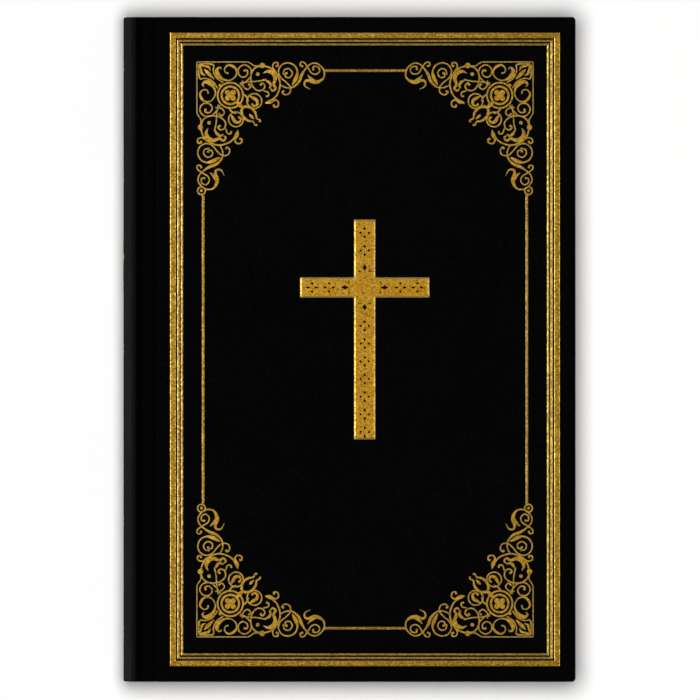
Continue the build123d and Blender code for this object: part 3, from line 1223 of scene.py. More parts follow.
class Scrollwork:
    """Scrolling leafwork for a corner: one arm, which its mirror image completes."""

    ARM = (
        line((8.9, 2.7, 0.12), (8.1, 2.0, 0.28), (7.1, 3.1, 0.6), (7.7, 4.9, 0.75), (9.3, 6.2, 0.42),
             (11.5, 6.6, 0.22), (13.6, 5.4, 0.22), (14.2, 3.4, 0.3), (13.1, 1.8, 0.45), (11.2, 1.2, 0.32),
             (9.9, 2.4, 0.22), (10.2, 3.8, 0.22), (11.3, 4.1, 0.3)),
        line((6.2, 1.2, 0.2), (5.9, 3.2, 0.22), (7.0, 5.7, 0.22), (9.4, 7.4, 0.22)),
        line((15.4, 8.3, 0.22), (17.6, 6.9, 0.24), (19.2, 4.9, 0.24), (19.0, 2.4, 0.24), (16.9, 1.1, 0.24),
             (14.9, 2.3, 0.24), (14.9, 4.5, 0.24), (16.4, 5.5, 0.24), (17.9, 4.6, 0.24), (17.8, 3.1, 0.3),
             (16.6, 3.2, 0.4)),
        line((16.2, 6.6, 0.2), (16.4, 8.6, 0.24), (17.9, 9.8, 0.24), (19.1, 8.8, 0.26), (18.3, 7.8, 0.36)),
        line((15.2, 7.6, 0.2), (18.5, 7.1, 0.22), (21.5, 6.9, 0.22), (24.6, 6.3, 0.28)),
        line((23.2, 1.4, 0.3), (20.7, 2.2, 0.26), (19.2, 4.6, 0.26), (19.5, 8.0, 0.26), (21.3, 10.1, 0.26),
             (23.4, 9.9, 0.26), (24.1, 8.5, 0.26), (23.2, 7.6, 0.32), (22.5, 8.4, 0.4)),
        line((23.2, 1.4, 0.3), (26.2, 2.3, 0.28), (28.6, 4.8, 0.28), (29.5, 8.2, 0.28), (28.3, 11.9, 0.28),
             (25.9, 13.9, 0.28), (24.2, 14.6, 0.15)),
        line((24.2, 14.6, 0.15), (25.9, 14.2, 0.7), (27.6, 13.5, 0.35), (28.9, 14.3, 0.27), (28.6, 15.8, 0.27),
             (27.4, 15.9, 0.32), (27.3, 15.1, 0.38)),
        line((23.5, 4.1, 0.1), (25.1, 3.4, 0.5), (27.0, 4.0, 0.8), (27.8, 5.9, 0.65), (27.2, 8.0, 0.45),
             (27.9, 9.4, 0.4), (26.9, 10.3, 0.32), (26.1, 9.5, 0.2)),
        line((24.3, 6.6, 0.15), (25.5, 7.2, 0.5), (26.2, 8.4, 0.4), (25.6, 9.4, 0.15)),
        line((23.6, 10.3, 0.2), (25.2, 10.8, 0.26), (25.5, 11.9, 0.26), (24.5, 12.3, 0.38)),
        line((29.1, 6.0, 0.22), (28.0, 3.7, 0.24), (26.9, 2.0, 0.24), (27.3, 0.5, 0.24), (28.6, 0.4, 0.28),
             (28.7, 1.4, 0.32), (28.0, 1.6, 0.38)),
        line((30.9, 10.3, 0.38), (30.2, 10.8, 0.28), (31.3, 11.7, 0.24), (32.9, 11.0, 0.24), (33.1, 9.0, 0.24),
             (31.6, 7.2, 0.24), (29.7, 5.6, 0.24), (28.9, 3.4, 0.24), (30.0, 1.2, 0.24), (32.2, 0.4, 0.24),
             (34.5, 1.3, 0.28), (35.6, 3.4, 0.3), (35.2, 5.6, 0.65), (34.3, 7.3, 0.45), (33.8, 8.4, 0.1)),
        line((30.6, 4.6, 0.2), (31.0, 2.9, 0.24), (32.6, 2.5, 0.24), (33.8, 3.9, 0.24), (33.0, 5.5, 0.24),
             (31.5, 5.4, 0.26), (31.4, 4.2, 0.3), (32.1, 4.0, 0.4)),
        line((29.7, 8.3, 0.24), (31.8, 9.2, 0.24), (34.2, 8.9, 0.28), (36.2, 7.0, 0.45), (37.1, 4.7, 0.5),
             (38.3, 2.8, 0.28), (40.0, 1.0, 0.24), (42.0, 0.5, 0.24), (43.8, 1.5, 0.24), (45.0, 3.2, 0.28),
             (45.0, 5.4, 0.28), (43.6, 6.8, 0.5), (41.6, 7.2, 0.7), (39.7, 6.6, 0.5), (38.3, 7.0, 0.38),
             (38.3, 8.6, 0.28), (40.3, 9.8, 0.05)),
        line((41.6, 6.8, 0.5), (39.9, 5.5, 0.32), (39.2, 4.6, 0.05)),
        line((37.6, 1.7, 0.38), (36.6, 1.2, 0.28), (36.9, 0.2, 0.24), (38.1, 0.4, 0.24), (39.4, 2.2, 0.24),
             (40.6, 4.0, 0.24), (42.3, 4.4, 0.24), (43.5, 3.2, 0.24), (42.8, 1.8, 0.24), (41.3, 1.8, 0.26),
             (41.2, 3.0, 0.38)),
        ring(20.4, 13.9, 2.6),
        line((18.5, 11.9, 0.1), (19.9, 12.8, 0.5), (21.2, 13.6, 0.55), (21.4, 15.1, 0.4), (20.2, 15.6, 0.32),
             (19.5, 14.8, 0.38)),
        line((16.6, 11.6, 0.3), (17.6, 12.4, 0.3), (18.4, 14.0, 0.15)),
        line((15.4, 17.4, 0.22), (16.9, 16.0, 0.4), (19.2, 16.3, 0.45), (20.8, 18.1, 0.4), (21.2, 20.0, 0.28),
             (22.3, 20.6, 0.28), (22.4, 21.4, 0.36)),
        line((1.0, 1.0, 0.3), (2.6, 1.5, 0.34), (4.2, 1.9, 0.42), (4.9, 3.2, 0.1)),
        line((1.0, 0.8, 0.26), (3.4, 0.75, 0.24), (5.6, 0.95, 0.32), (6.1, 1.9, 0.1)),
        ring(23.2, 1.35, 0.45, 0.5),
        ring(21.6, 4.4, 0.3, 0.34),
    )
    DIAGONAL = (
        ring(11.9, 11.9, 4.5, 0.3),
        ring(11.9, 11.9, 3.1, 0.38),
        ring(11.9, 11.9, 0.55, 0.6),
        *[ring(u, v, 0.45, 0.5) for u, v in ((12.85, 12.85), (10.95, 12.85), (12.85, 10.95), (10.95, 10.95))],
        line((14.0, 14.0, 0.3), (15.2, 15.2, 0.75), (16.6, 16.6, 0.2)),
        line((18.6, 18.6, 0.1), (19.3, 19.3, 0.5), (20.3, 20.3, 0.1)),
        line((2.6, 2.6, 0.1), (3.8, 3.8, 0.62), (5.0, 5.0, 0.5), (6.2, 6.2, 0.1)),
        ring(8.4, 8.4, 0.28, 0.34),
    )
    END = (ring(1.7, 45.6, 1.35, 0.26), ring(1.7, 45.6, 0.25, 0.25))

    @classmethod
    def strokes(cls) -> list[Stroke]:
        """Gives every stroke of one corner ornament."""
        return [*cls.ARM, *[s.swapped() for s in cls.ARM], *cls.DIAGONAL, *cls.END]


class FoilTrees:
    """Geometry trees that lay foil along lines."""

    @staticmethod
    @cache
    def stroke() -> Tree:
        """Turns edges with a width on each point into raised foil with a rim in a paler finish, a painted
        highlight.

        Returns:
            The tree.
        """
        inputs = [("Geometry", "Geometry"), ("Rise", "Float"), ("Bevel", "Float")]
        inputs += [("Rim Width", "Float"), ("Rim", "Material"), ("Foil", "Material")]
        g, given, leave = tree_with("foil stroke", "GeometryNodeTree", inputs, inputs[:1])
        width = g.add("GeometryNodeInputNamedAttribute", {"data_type": "FLOAT"}, Name="half_width").outputs[0]
        inner = g.math("SUBTRACT", width, given["Rim Width"])
        too_thin = g.math("LESS_THAN", inner, 0.08 * MM)
        wide = g.add(
            "GeometryNodeDeleteGeometry", {"domain": "POINT"}, Geometry=given["Geometry"], Selection=too_thin
        )
        top = g.math("SUBTRACT", 2.0, g.math("MULTIPLY", given["Bevel"], 2.0))
        layers = []
        for wires, scale, finish, lift in (
            (given["Geometry"], width, given["Rim"], 1.0),
            (wide.outputs[0], inner, given["Foil"], 1.6),
        ):
            profile = g.add(
                "GeometryNodeCurvePrimitiveQuadrilateral",
                {"mode": "TRAPEZOID"},
                Height=g.math("MULTIPLY", given["Rise"], 2.0 * lift),
                Bottom_Width=2.0,
                Top_Width=top,
                Offset=0.0,
            )
            curve = g.add("GeometryNodeMeshToCurve", Mesh=wires)
            swept = g.add(
                "GeometryNodeCurveToMesh",
                Curve=curve.outputs[0],
                Profile_Curve=profile.outputs[0],
                Scale=scale,
                Fill_Caps=True,
            )
            real = g.add("GeometryNodeRealizeInstances", Geometry=swept.outputs[0])
            dressed = g.add("GeometryNodeSetMaterial", Geometry=real.outputs[0], Material=finish)
            layers.append(dressed.outputs[0])
        lifted = g.add("GeometryNodeSetPosition", Geometry=layers[1], Offset=(0.0, 0.0, 0.02 * MM))
        gather = g.tree.nodes.new("GeometryNodeJoinGeometry")
        g.tree.links.new(layers[0], gather.inputs[0])
        g.tree.links.new(lifted.outputs[0], gather.inputs[0])
        g.tree.links.new(gather.outputs[0], leave.inputs[0])
        return g.tree


@dataclass
class CornerOrnament:
    """Scrollwork blocked in one corner of the front cover."""

    palette: Palette
    head: bool
    fore_edge: bool
    half_x: float = 59.5
    half_y: float = 101.7
    rise: float = 0.2
    bevel: float = 0.45
    rim_width: float = 0.14

    @property
    def name(self) -> str:
        """The CAD node that this corner stands for."""
        return f"corner_foil_{'head' if self.head else 'tail'}_{'fore_edge' if self.fore_edge else 'spine'}"

    def place(self, u: float, v: float) -> Point2:
        """Puts a point of the ornament on the cover.

        Args:
            u: Distance in from the corner along the head.
            v: Distance in along the side.

        Returns:
            X and Y.
        """
        sx, sy = (1 if self.fore_edge else -1), (1 if self.head else -1)
        return LAYOUT.centre_x + sx * (self.half_x - u), sy * (self.half_y - v)

    def wires(self) -> Mesh:
        """Draws the strokes as edges with a half width on each point.

        Returns:
            The mesh of bare edges.
        """
        points: list[Point3] = []
        widths: list[float] = []
        edges: list[tuple[int, int]] = []
        for stroke in [*Scrollwork.strokes(), *self.border()]:
            rows = stroke.smooth()
            first = len(points)
            for u, v, w in rows:
                points.append((*self.place(u, v), LAYOUT.face_z))
                widths.append(w * MM)
            edges += [(first + n, first + n + 1) for n in range(len(rows) - 1)]
            if stroke.closed:
                edges.append((first + len(rows) - 1, first))
        mesh = bpy.data.meshes.new(self.name + "_wires")
        mesh.from_pydata((np.array(points) * MM).tolist(), edges, [])
        attribute = mesh.attributes.new("half_width", "FLOAT", "POINT")
        attribute.data.foreach_set("value", np.array(widths, np.float32))
        return mesh

    def border(self) -> list[Stroke]:
        """Gives the thin lines that square off the outside of the corner.

        Returns:
            The strokes.
        """
        corner = (0.12, 0.12, 0.2)
        along = line((18.2, 0.1, 0.2), (19.4, 0.8, 0.2), (20.6, 1.5, 0.2), (22.8, 1.3, 0.2))
        straight = Stroke(tuple((u, 0.1, 0.2) for u in np.linspace(0.1, 18.2, 4)))
        return [along, along.swapped(), straight, straight.swapped(), Stroke((corner, (0.3, 0.3, 0.2)))]

    def build(self) -> Piece:
        """Builds the ornament and puts it on the front cover.

        Returns:
            The raised foil of one corner.
        """
        values = {
            "Rise": self.rise,
            "Bevel": self.bevel,
            "Rim Width": self.rim_width * MM,
            # The rim finish is painted paler and yellower than the foil: painted highlight.
            "Rim": self.palette.line_rim,
            "Foil": self.palette.foil,
        }
        mesh = grown(self.name, self.wires(), FoilTrees.stroke(), values)
        piece = stand("foil_" + self.name.removeprefix("corner_foil_"), mesh, [], 30.0)
        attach(piece, "front_cover")
        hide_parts(self.name)
        return piece


@dataclass
class FoilLine:
    """A straight-sided line of foil round a rectangle, or a plain bar, with slightly ragged edges."""

    half_x: float
    half_y: float
    width: float
    rise: float = 0.1
    bevel: float = 0.3
    ragged: float = 0.05
    pitch: float = 1.1

    def ragged_ring(self, inset: float, z: float, seed: float) -> list[Point3]:
        """Draws a rectangle whose sides wander a little.

        Args:
            inset: Distance in from the line's outside.
            z: Height.
            seed: Where in the noise the wander is read.

        Returns:
            The ring's points, anticlockwise from above.
        """
        hx, hy = self.half_x - inset, self.half_y - inset
        nx, ny = max(1, round(2 * self.half_x / self.pitch)), max(1, round(2 * self.half_y / self.pitch))
        outline: list[tuple[float, float, float, float]] = []
        outline += [(-hx + 2 * hx * n / nx, -hy, 0.0, -1.0) for n in range(nx)]
        outline += [(hx, -hy + 2 * hy * n / ny, 1.0, 0.0) for n in range(ny)]
        outline += [(hx - 2 * hx * n / nx, hy, 0.0, 1.0) for n in range(nx)]
        outline += [(-hx, hy - 2 * hy * n / ny, -1.0, 0.0) for n in range(ny)]
        points: list[Point3] = []
        for x, y, out_x, out_y in outline:
            off = self.ragged * noise.noise(Vector((x * 0.9, y * 0.9, seed)))
            points.append((x + out_x * off, y + out_y * off, z))
        return points

    def mesh(
        self, centre: Point2, hollow: bool, seed: float
    ) -> tuple[list[Point3], list[Face], list[int]]:
        """Builds the line's points and faces.

        Args:
            centre: X and Y of its middle.
            hollow: True for a frame, False for a bar that is filled in.
            seed: Seed of its ragged edges.

        Returns:
            Points, faces, and 1 for each face of a rim or 0 for the others.
        """
        low, high = LAYOUT.face_z - 0.02, LAYOUT.face_z + self.rise
        rings = [self.ragged_ring(0.0, low, seed), self.ragged_ring(self.bevel, high, seed)]
        if hollow:
            rings += [self.ragged_ring(self.width - self.bevel, high, seed + 7)]
            rings += [self.ragged_ring(self.width, low, seed + 7)]
        around = len(rings[0])
        faces: list[Face] = []
        rims: list[int] = []
        pairs = len(rings) if hollow else len(rings) - 1
        for n in range(pairs):
            for m in range(around):
                a, b = n * around + m, n * around + (m + 1) % around
                c, d = (n + 1) % len(rings) * around + (m + 1) % around, (n + 1) % len(rings) * around + m
                faces.append((a, b, c, d))
                rims.append(int(n in (0, 2)))
        if not hollow:
            faces += [tuple(range(around, 2 * around)), tuple(reversed(range(around)))]
            rims += [0, 0]
        points = [(x + centre[0], y + centre[1], z) for ring_points in rings for x, y, z in ring_points]
        return points, faces, rims


@dataclass
class CoverFrame:
    """The three nested lines and the four rules of the front cover."""

    palette: Palette
    margin: float = 5.5
    widths: tuple[float, float, float] = (2.05, 0.85, 0.8)
    gap: float = 0.45
    rule_half_x: float = 57.2
    rule_half_y: float = 98.55
    rule_reach_x: float = 14.6
    rule_reach_y: float = 54.6
    rule_widths: tuple[float, float] = (1.0, 0.88)
    rule_bevel: float = 0.22

    def lines(self) -> list[Piece]:
        """Builds the three nested lines.

        Returns:
            One piece for each line.
        """
        half_x = LAYOUT.fore_x - LAYOUT.centre_x - self.margin
        half_y = LAYOUT.head_y - self.margin
        made = []
        inset = 0.0
        for n, (label, width) in enumerate(zip(("outer", "middle", "inner"), self.widths)):
            foil = FoilLine(half_x - inset, half_y - inset, width)
            points, faces, rims = foil.mesh((LAYOUT.centre_x, 0.0), True, 11.0 * n)
            # Darker frame foil, painted shade, with rims in a paler finish, painted highlight.
            finishes = [self.palette.line_foil, self.palette.line_rim]
            piece = new_piece(f"frame_line_{label}", points, faces, finishes, 12.0, rims)
            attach(piece, "front_cover")
            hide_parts(f"frame_foil_{label}")
            made.append(piece)
            inset += width + self.gap
        return made

    def rules(self) -> Piece:
        """Builds the four rules between the corners as one piece.

        Returns:
            The raised rules.
        """
        points: list[Point3] = []
        faces: list[Face] = []
        rims: list[int] = []
        flat, upright = self.rule_widths
        middle = LAYOUT.centre_x
        bars = [((middle, s * self.rule_half_y), self.rule_reach_x, flat / 2) for s in (1, -1)]
        bars += [((middle + s * self.rule_half_x, 0.0), upright / 2, self.rule_reach_y) for s in (1, -1)]
        for n, (centre, half_x, half_y) in enumerate(bars):
            foil = FoilLine(half_x, half_y, 0.0, bevel=self.rule_bevel)
            more_points, more_faces, more_rims = foil.mesh(centre, False, 50.0 + n)
            faces += [tuple(len(points) + corner for corner in face) for face in more_faces]
            points += more_points
            rims += more_rims
        # Darker frame foil, painted shade, with rims in a paler finish, painted highlight.
        finishes = [self.palette.line_foil, self.palette.line_rim]
        piece = new_piece("foil_rules", points, faces, finishes, 12.0, rims)
        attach(piece, "front_cover")
        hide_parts("rule_foil")
        return piece

    def build(self) -> list[Piece]:
        """Builds the frame and the rules."""
        return [*self.lines(), self.rules()]


@dataclass
class Cross:
    """The cross, pierced with small lozenges and hooks."""

    palette: Palette
    top: float = 45.95
    foot: float = -31.85
    arm_y: float = 21.9
    arm_half: float = 22.85
    stem: float = 7.55
    arm: float = 7.2
    offset_x: float = -0.1
    rise: float = 0.16
    rim: float = 0.6
    ragged: float = 0.06
    spacing: float = 6.25
    first: float = 13.1
    pip: float = 1.45
    big_at: float = 7.0

    def outline(self, inset: float = 0.0) -> list[Point2]:
        """Gives the cross's twelve corners about its crossing.

        Args:
            inset: Distance in from its edge.

        Returns:
            The corners, anticlockwise.
        """
        s, a, w = self.stem / 2 - inset, self.arm / 2 - inset, self.arm_half - inset
        up, down = self.top - self.arm_y - inset, self.foot - self.arm_y + inset
        corners = [(-s, up), (-s, a), (-w, a), (-w, -a), (-s, -a), (-s, down)]
        return [*corners, *[(-x, y) for x, y in reversed(corners)]]

    def wandering(self, inset: float, z: float) -> list[Point3]:
        """Follows the outline in short steps, wandering a little.

        Args:
            inset: Distance in from its edge.
            z: Height above the leather.

        Returns:
            Points about the crossing.
        """
        corners = self.outline(inset)
        full = self.outline()
        points: list[Point3] = []
        for n in range(len(corners)):
            start, end = np.array(corners[n]), np.array(corners[(n + 1) % len(corners)])
            steps = max(1, round(math.dist(full[n], full[(n + 1) % len(full)]) / 1.0))
            for step in range(steps):
                x, y = start + (end - start) * step / steps
                off_x = self.ragged * noise.noise(Vector((x, y, 3.0)))
                off_y = self.ragged * noise.noise(Vector((x, y, 9.0)))
                points.append((float(x) + off_x, float(y) + off_y, z))
        return points

    def rim_piece(self) -> Piece:
        """Builds the sloping rim of the cross.

        Returns:
            The rim, a closed ring round the cross.
        """
        rings = [self.wandering(0.0, -0.02), self.wandering(0.05, 0.04), self.wandering(self.rim, self.rise)]
        rings.append([(x, y, -0.02) for x, y, _ in rings[-1]])
        around = len(rings[0])
        faces = []
        for n in range(4):
            for m in range(around):
                a, b = n * around + m, n * around + (m + 1) % around
                c, d = (n + 1) % 4 * around + (m + 1) % around, (n + 1) % 4 * around + m
                faces.append((a, b, c, d))
        points = [self.placed(point) for ring_points in rings for point in ring_points]
        # The rim takes the paler rim finish, a painted highlight.
        return new_piece("cross_rim", points, faces, [self.palette.rim], 50.0)

    def placed(self, point: Point3) -> Point3:
        """Moves a point from the crossing to its place on the cover."""
        return point[0] + LAYOUT.centre_x + self.offset_x, point[1] + self.arm_y, point[2] + LAYOUT.face_z

    def lozenge(self, x: float, y: float, half_x: float, half_y: float) -> list[Point2]:
        """Gives a four-pointed hole with sides that curve in."""
        waist = 0.46
        return [
            (x - half_x, y),
            (x - half_x * waist, y + half_y * waist),
            (x, y + half_y),
            (x + half_x * waist, y + half_y * waist),
            (x + half_x, y),
            (x + half_x * waist, y - half_y * waist),
            (x, y - half_y),
            (x - half_x * waist, y - half_y * waist),
        ]

    def hook(self, x: float, y: float, start: float) -> list[Point2]:
        """Gives a small curl beside a large lozenge, as a bent sliver.

        Args:
            x: The middle of the curl across the cross.
            y: The middle of the curl along the cross.
            start: The angle at which the curl starts.

        Returns:
            The sliver's outline.
        """
        angles = [math.radians(start + a) for a in (0, 50, 100, 150)]
        outer = [(x + 0.68 * math.cos(a), y + 0.68 * math.sin(a)) for a in angles]
        inner = [(x + 0.26 * math.cos(a), y + 0.26 * math.sin(a)) for a in reversed(angles[1:-1])]
        return outer + inner

    def holes(self) -> list[list[Point2]]:
        """Gives every hole in the cross, about its crossing.

        Returns:
            The holes' outlines.
        """
        spots = [(0.0, self.first + n * self.spacing, False) for n in range(2)]
        spots += [(0.0, -self.first - 0.5 - n * self.spacing, False) for n in range(7)]
        spots += [(s * (self.first - 0.5 + n * 6.0), 0.0, True) for n in range(2) for s in (1, -1)]
        holes = []
        for x, y, flat in spots:
            for s in (1, -1):
                side = (0.8, 0.46) if flat else (0.52, 0.52)
                holes.append(self.lozenge(x + s * self.pip, y, *side))
                holes.append(self.lozenge(x, y + s * self.pip, 0.52, 0.54 if flat else 0.66))
        for s in (1, -1):
            holes.append(self.lozenge(0.0, s * self.big_at, 0.8, 1.25))
            holes.append(self.lozenge(s * self.big_at, 0.0, 1.45, 0.8))
            for t in (1, -1):
                holes.append(self.hook(t * 1.75, s * 5.35, 15 if s > 0 else 195))
                holes.append(self.hook(s * 5.2, t * 1.75, -75 if s > 0 else 105))
        return holes

    def build(self) -> Piece:
        """Builds the cross and puts it on the front cover.

        Returns:
            The pierced cross.
        """
        curve = bpy.data.curves.new("cross_outline", "CURVE")
        curve.dimensions = "2D"
        curve.fill_mode = "BOTH"
        curve.extrude = self.rise * MM / 2
        for loop in [self.outline(self.rim - 0.01), *self.holes()]:
            spline = curve.splines.new("POLY")
            spline.points.add(len(loop) - 1)
            for point, (x, y) in zip(spline.points, loop):
                point.co = (x * MM, y * MM, 0.0, 1.0)
            spline.use_cyclic_u = True
        carrier = bpy.data.objects.new("cross_carrier", curve)
        bpy.context.scene.collection.objects.link(carrier)
        mesh = bpy.data.meshes.new_from_object(carrier.evaluated_get(bpy.context.evaluated_depsgraph_get()))
        bpy.data.objects.remove(carrier)
        welded(mesh)
        for vertex in mesh.vertices:
            vertex.co += Vector(self.placed((0.0, 0.0, self.rise / 2))) * MM
        mesh.materials.clear()
        plate = stand("cross_plate", mesh, [self.palette.foil], 28.0)
        piece = joined("cross", [plate, self.rim_piece()])
        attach(piece, "front_cover")
        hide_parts("cross_foil")
        return piece


@dataclass
class SpineFoil:
    """Pairs of rules across the spine and a small plain cross between two of them."""

    palette: Palette
    stations: tuple[float, ...] = (-100.0, -61.0, 0.0, 61.0, 100.0)
    half: float = 4.5
    rise: float = 0.1
    thick_rule: Point2 = (-1.6, -0.4)
    thin_rule: Point2 = (0.9, 1.5)
    cross: tuple[Point3, ...] = ((20.5, 38.5, 0.95), (32.0, 33.9, 4.5))

    def patch(self, y0: float, y1: float, half: float) -> tuple[list[Point3], list[Face]]:
        """Lays a rectangle of foil on the rounded leather.

        Args:
            y0: Its lower edge.
            y1: Its upper edge.
            half: Half its height up the spine.

        Returns:
            Points and faces.
        """
        radius, bevel = LAYOUT.spine_radius, 0.1
        arc = np.linspace(-half, half, max(4, round(half * 2)))
        points: list[Point3] = []
        for off in arc:
            z = LAYOUT.mid_z + float(off)
            low, high = LAYOUT.arc_x(z, radius - 0.02), LAYOUT.arc_x(z, radius + self.rise)
            points += [(low, y0, z), (high, y0 + bevel, z), (high, y1 - bevel, z), (low, y1, z)]
        faces: list[Face] = [(0, 1, 2, 3)]
        for n in range(len(arc) - 1):
            for m in range(4):
                a, b = 4 * n + m, 4 * n + (m + 1) % 4
                faces.append((a, a + 4, b + 4, b))
        last = 4 * (len(arc) - 1)
        faces.append((last + 3, last + 2, last + 1, last))
        return points, faces

    def build(self) -> Piece:
        """Builds the spine's foil as one piece.

        Returns:
            The foil, on the text block.
        """
        rules = (self.thick_rule, self.thin_rule)
        patches = [(at + low, at + high, self.half) for at in self.stations for low, high in rules]
        patches += self.cross
        points: list[Point3] = []
        faces: list[Face] = []
        for y0, y1, half in patches:
            more_points, more_faces = self.patch(y0, y1, half)
            faces += [tuple(len(points) + corner for corner in face) for face in more_faces]
            points += more_points
        piece = new_piece("foil_spine", points, faces, [self.palette.foil], 25.0)
        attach(piece, "text_block")
        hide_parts("spine_foil")
        return piece


# ---- The text block ------------------------------------------------------------------------------


@dataclass
class TextBlock:
    """The sewn signatures, each built from its single leaves."""

    palette: Palette
    signatures: int = 20
    leaves: int = 32
    turning: int = 4
    leaf_gap: float = 0.006
    jitter: float = 0.07
    flare_x: float = -74.2
    flare_reach: float = 2.6
    flare_depth: float = 1.56
    flare_rise: float = 2.3
    flare_lean: float = 1.1
    fold_cuts: tuple[float, ...] = (0.0, 0.8, 1.6, 2.4, 3.2)

    def leaf(self, cuts: Sequence[float], thickness: float, gutter: float = 0.0) -> Mesh:
        """Makes one leaf, lying from its fold to its fore-edge.

        Args:
            cuts: Where the leaf is divided, from the fold.
            thickness: Its thickness.
            gutter: Extra X of every cut.

        Returns:
            The leaf's mesh, with gilt on its three trimmed edges.
        """
        half = LAYOUT.leaf_half
        points: list[Point3] = []
        for x in cuts:
            points += [(x + gutter, -half, 0), (x + gutter, half, 0)]
            points += [(x + gutter, half, thickness), (x + gutter, -half, thickness)]
        faces: list[Face] = [(3, 2, 1, 0)]
        gilt = [False]
        for n in range(len(cuts) - 1):
            for m in range(4):
                a, b = 4 * n + m, 4 * n + (m + 1) % 4
                faces.append((a, b, b + 4, a + 4))
                gilt.append(m in (1, 3))
        last = 4 * (len(cuts) - 1)
        faces.append((last, last + 1, last + 2, last + 3))
        gilt.append(True)
        mesh = bpy.data.meshes.new("leaf")
        mesh.from_pydata((np.array(points) * MM).tolist(), [], faces)
        attribute = mesh.attributes.new("gilt", "BOOLEAN", "FACE")
        attribute.data.foreach_set("value", gilt)
        return mesh

    @staticmethod
    def stack_tree() -> Tree:
        """Stacks one leaf into a signature whose folds follow the rounded spine.

        Returns:
            The geometry tree.
        """
        inputs = [("Geometry", "Geometry"), ("Leaves", "Int"), ("Seed", "Int")]
        numbers = ("Pitch", "First", "Middle", "Fold Radius", "Spine Centre", "Jitter")
        inputs += [(name, "Float") for name in numbers]
        inputs += [("Paper", "Material"), ("Gilt", "Material")]
        g, given, leave = tree_with("stacked leaves", "GeometryNodeTree", inputs, inputs[:1])
        step = g.add("ShaderNodeCombineXYZ", Z=given["Pitch"])
        start = g.add("ShaderNodeCombineXYZ", Z=given["First"])
        first, offset = start.outputs[0], step.outputs[0]
        row = g.add("GeometryNodeMeshLine", Count=given["Leaves"], Start_Location=first, Offset=offset)
        place = g.add("GeometryNodeInputPosition")
        height = g.add("ShaderNodeSeparateXYZ", Vector=place.outputs[0]).outputs["Z"]
        off = g.math("SUBTRACT", height, given["Middle"])
        squared = g.math("POWER", given["Fold Radius"], 2.0)
        inside = g.math("SUBTRACT", squared, g.math("MULTIPLY", off, off))
        fold = g.math("SUBTRACT", given["Spine Centre"], g.math("SQRT", inside))
        low = g.math("MULTIPLY", given["Jitter"], -1.0)
        kind = {"data_type": "FLOAT"}
        wander = g.add("FunctionNodeRandomValue", kind, Min=low, Max=given["Jitter"], Seed=given["Seed"])
        along = g.add("ShaderNodeCombineXYZ", X=g.math("ADD", fold, wander.outputs[1]))
        placed = g.add("GeometryNodeSetPosition", Geometry=row.outputs[0], Offset=along.outputs[0])
        stacked = g.add("GeometryNodeInstanceOnPoints", Points=placed.outputs[0], Instance=given["Geometry"])
        real = g.add("GeometryNodeRealizeInstances", Geometry=stacked.outputs[0])
        paper = g.add("GeometryNodeSetMaterial", Geometry=real.outputs[0], Material=given["Paper"])
        edge = g.add("GeometryNodeInputNamedAttribute", {"data_type": "BOOLEAN"}, Name="gilt")
        whole, trimmed = paper.outputs[0], edge.outputs[0]
        done = g.add("GeometryNodeSetMaterial", Geometry=whole, Selection=trimmed, Material=given["Gilt"])
        g.tree.links.new(done.outputs[0], leave.inputs[0])
        return g.tree

    def flare(self, mesh: Mesh, side: int, face_z: float) -> None:
        """Bends the folds of an outermost signature over into the shoulder of the joint.

        Args:
            mesh: The signature, in metres.
            side: 1 for the front of the book and -1 for the back.
            face_z: Height of the signature's inner face.
        """
        co = np.zeros(len(mesh.vertices) * 3)
        mesh.vertices.foreach_get("co", co)
        co = co.reshape(-1, 3) / MM
        share = np.clip((self.flare_x - co[:, 0]) / self.flare_reach, 0, 1) ** 1.3
        depth = np.clip(side * (co[:, 2] - face_z) / self.flare_depth, 0, 1)
        co[:, 2] += side * share * depth * self.flare_rise
        co[:, 0] += share * depth * (self.flare_lean + 0.2 * depth)
        mesh.vertices.foreach_set("co", (co * MM).ravel())
        mesh.update()

    def signature(self, number: int, tree: Tree) -> Piece:
        """Builds one signature.

        Args:
            number: Its place from the front, from 1.
            tree: The tree that stacks its leaves.

        Returns:
            The signature.
        """
        lay = LAYOUT
        node = f"signature_{number:02d}"
        low, high = (float(c[2]) for c in box_mm(node))
        if number == self.signatures:
            low = 2 * lay.mid_z - lay.block_top
        pitch = (high - low) / self.leaves
        turns = number <= self.turning
        outermost = number in (1, self.signatures)
        cuts = [0.0, lay.leaf_width]
        if outermost:
            cuts = [*self.fold_cuts, lay.leaf_width]
        if turns:
            cuts = [*self.fold_cuts, *np.linspace(4.6, 20.6, 17), 40.0, 80.0, lay.leaf_width]
        leaf = self.leaf(cuts, pitch - self.leaf_gap)
        values = {
            "Leaves": self.leaves,
            "Pitch": pitch * MM,
            "First": (low + self.leaf_gap / 2) * MM,
            "Middle": lay.mid_z * MM,
            "Fold Radius": lay.fold_radius * MM,
            "Spine Centre": lay.spine_centre * MM,
            "Jitter": self.jitter * MM,
            "Seed": number,
            "Paper": self.palette.paper,
            "Gilt": self.palette.gilt,
        }
        mesh = grown(node, leaf, tree, values)
        if outermost:
            self.flare(mesh, 1 if number == 1 else -1, low if number == 1 else high)
        piece = stand("leaves_" + node, mesh, [], 30.0)
        if turns:
            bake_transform(piece)
        else:
            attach(piece, "text_block")
        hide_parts(node)
        if number == 1:
            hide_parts("front_signature_folds")
        return piece

    def build(self) -> list[Piece]:
        """Builds every signature."""
        tree = self.stack_tree()
        return [self.signature(number, tree) for number in range(1, self.signatures + 1)]


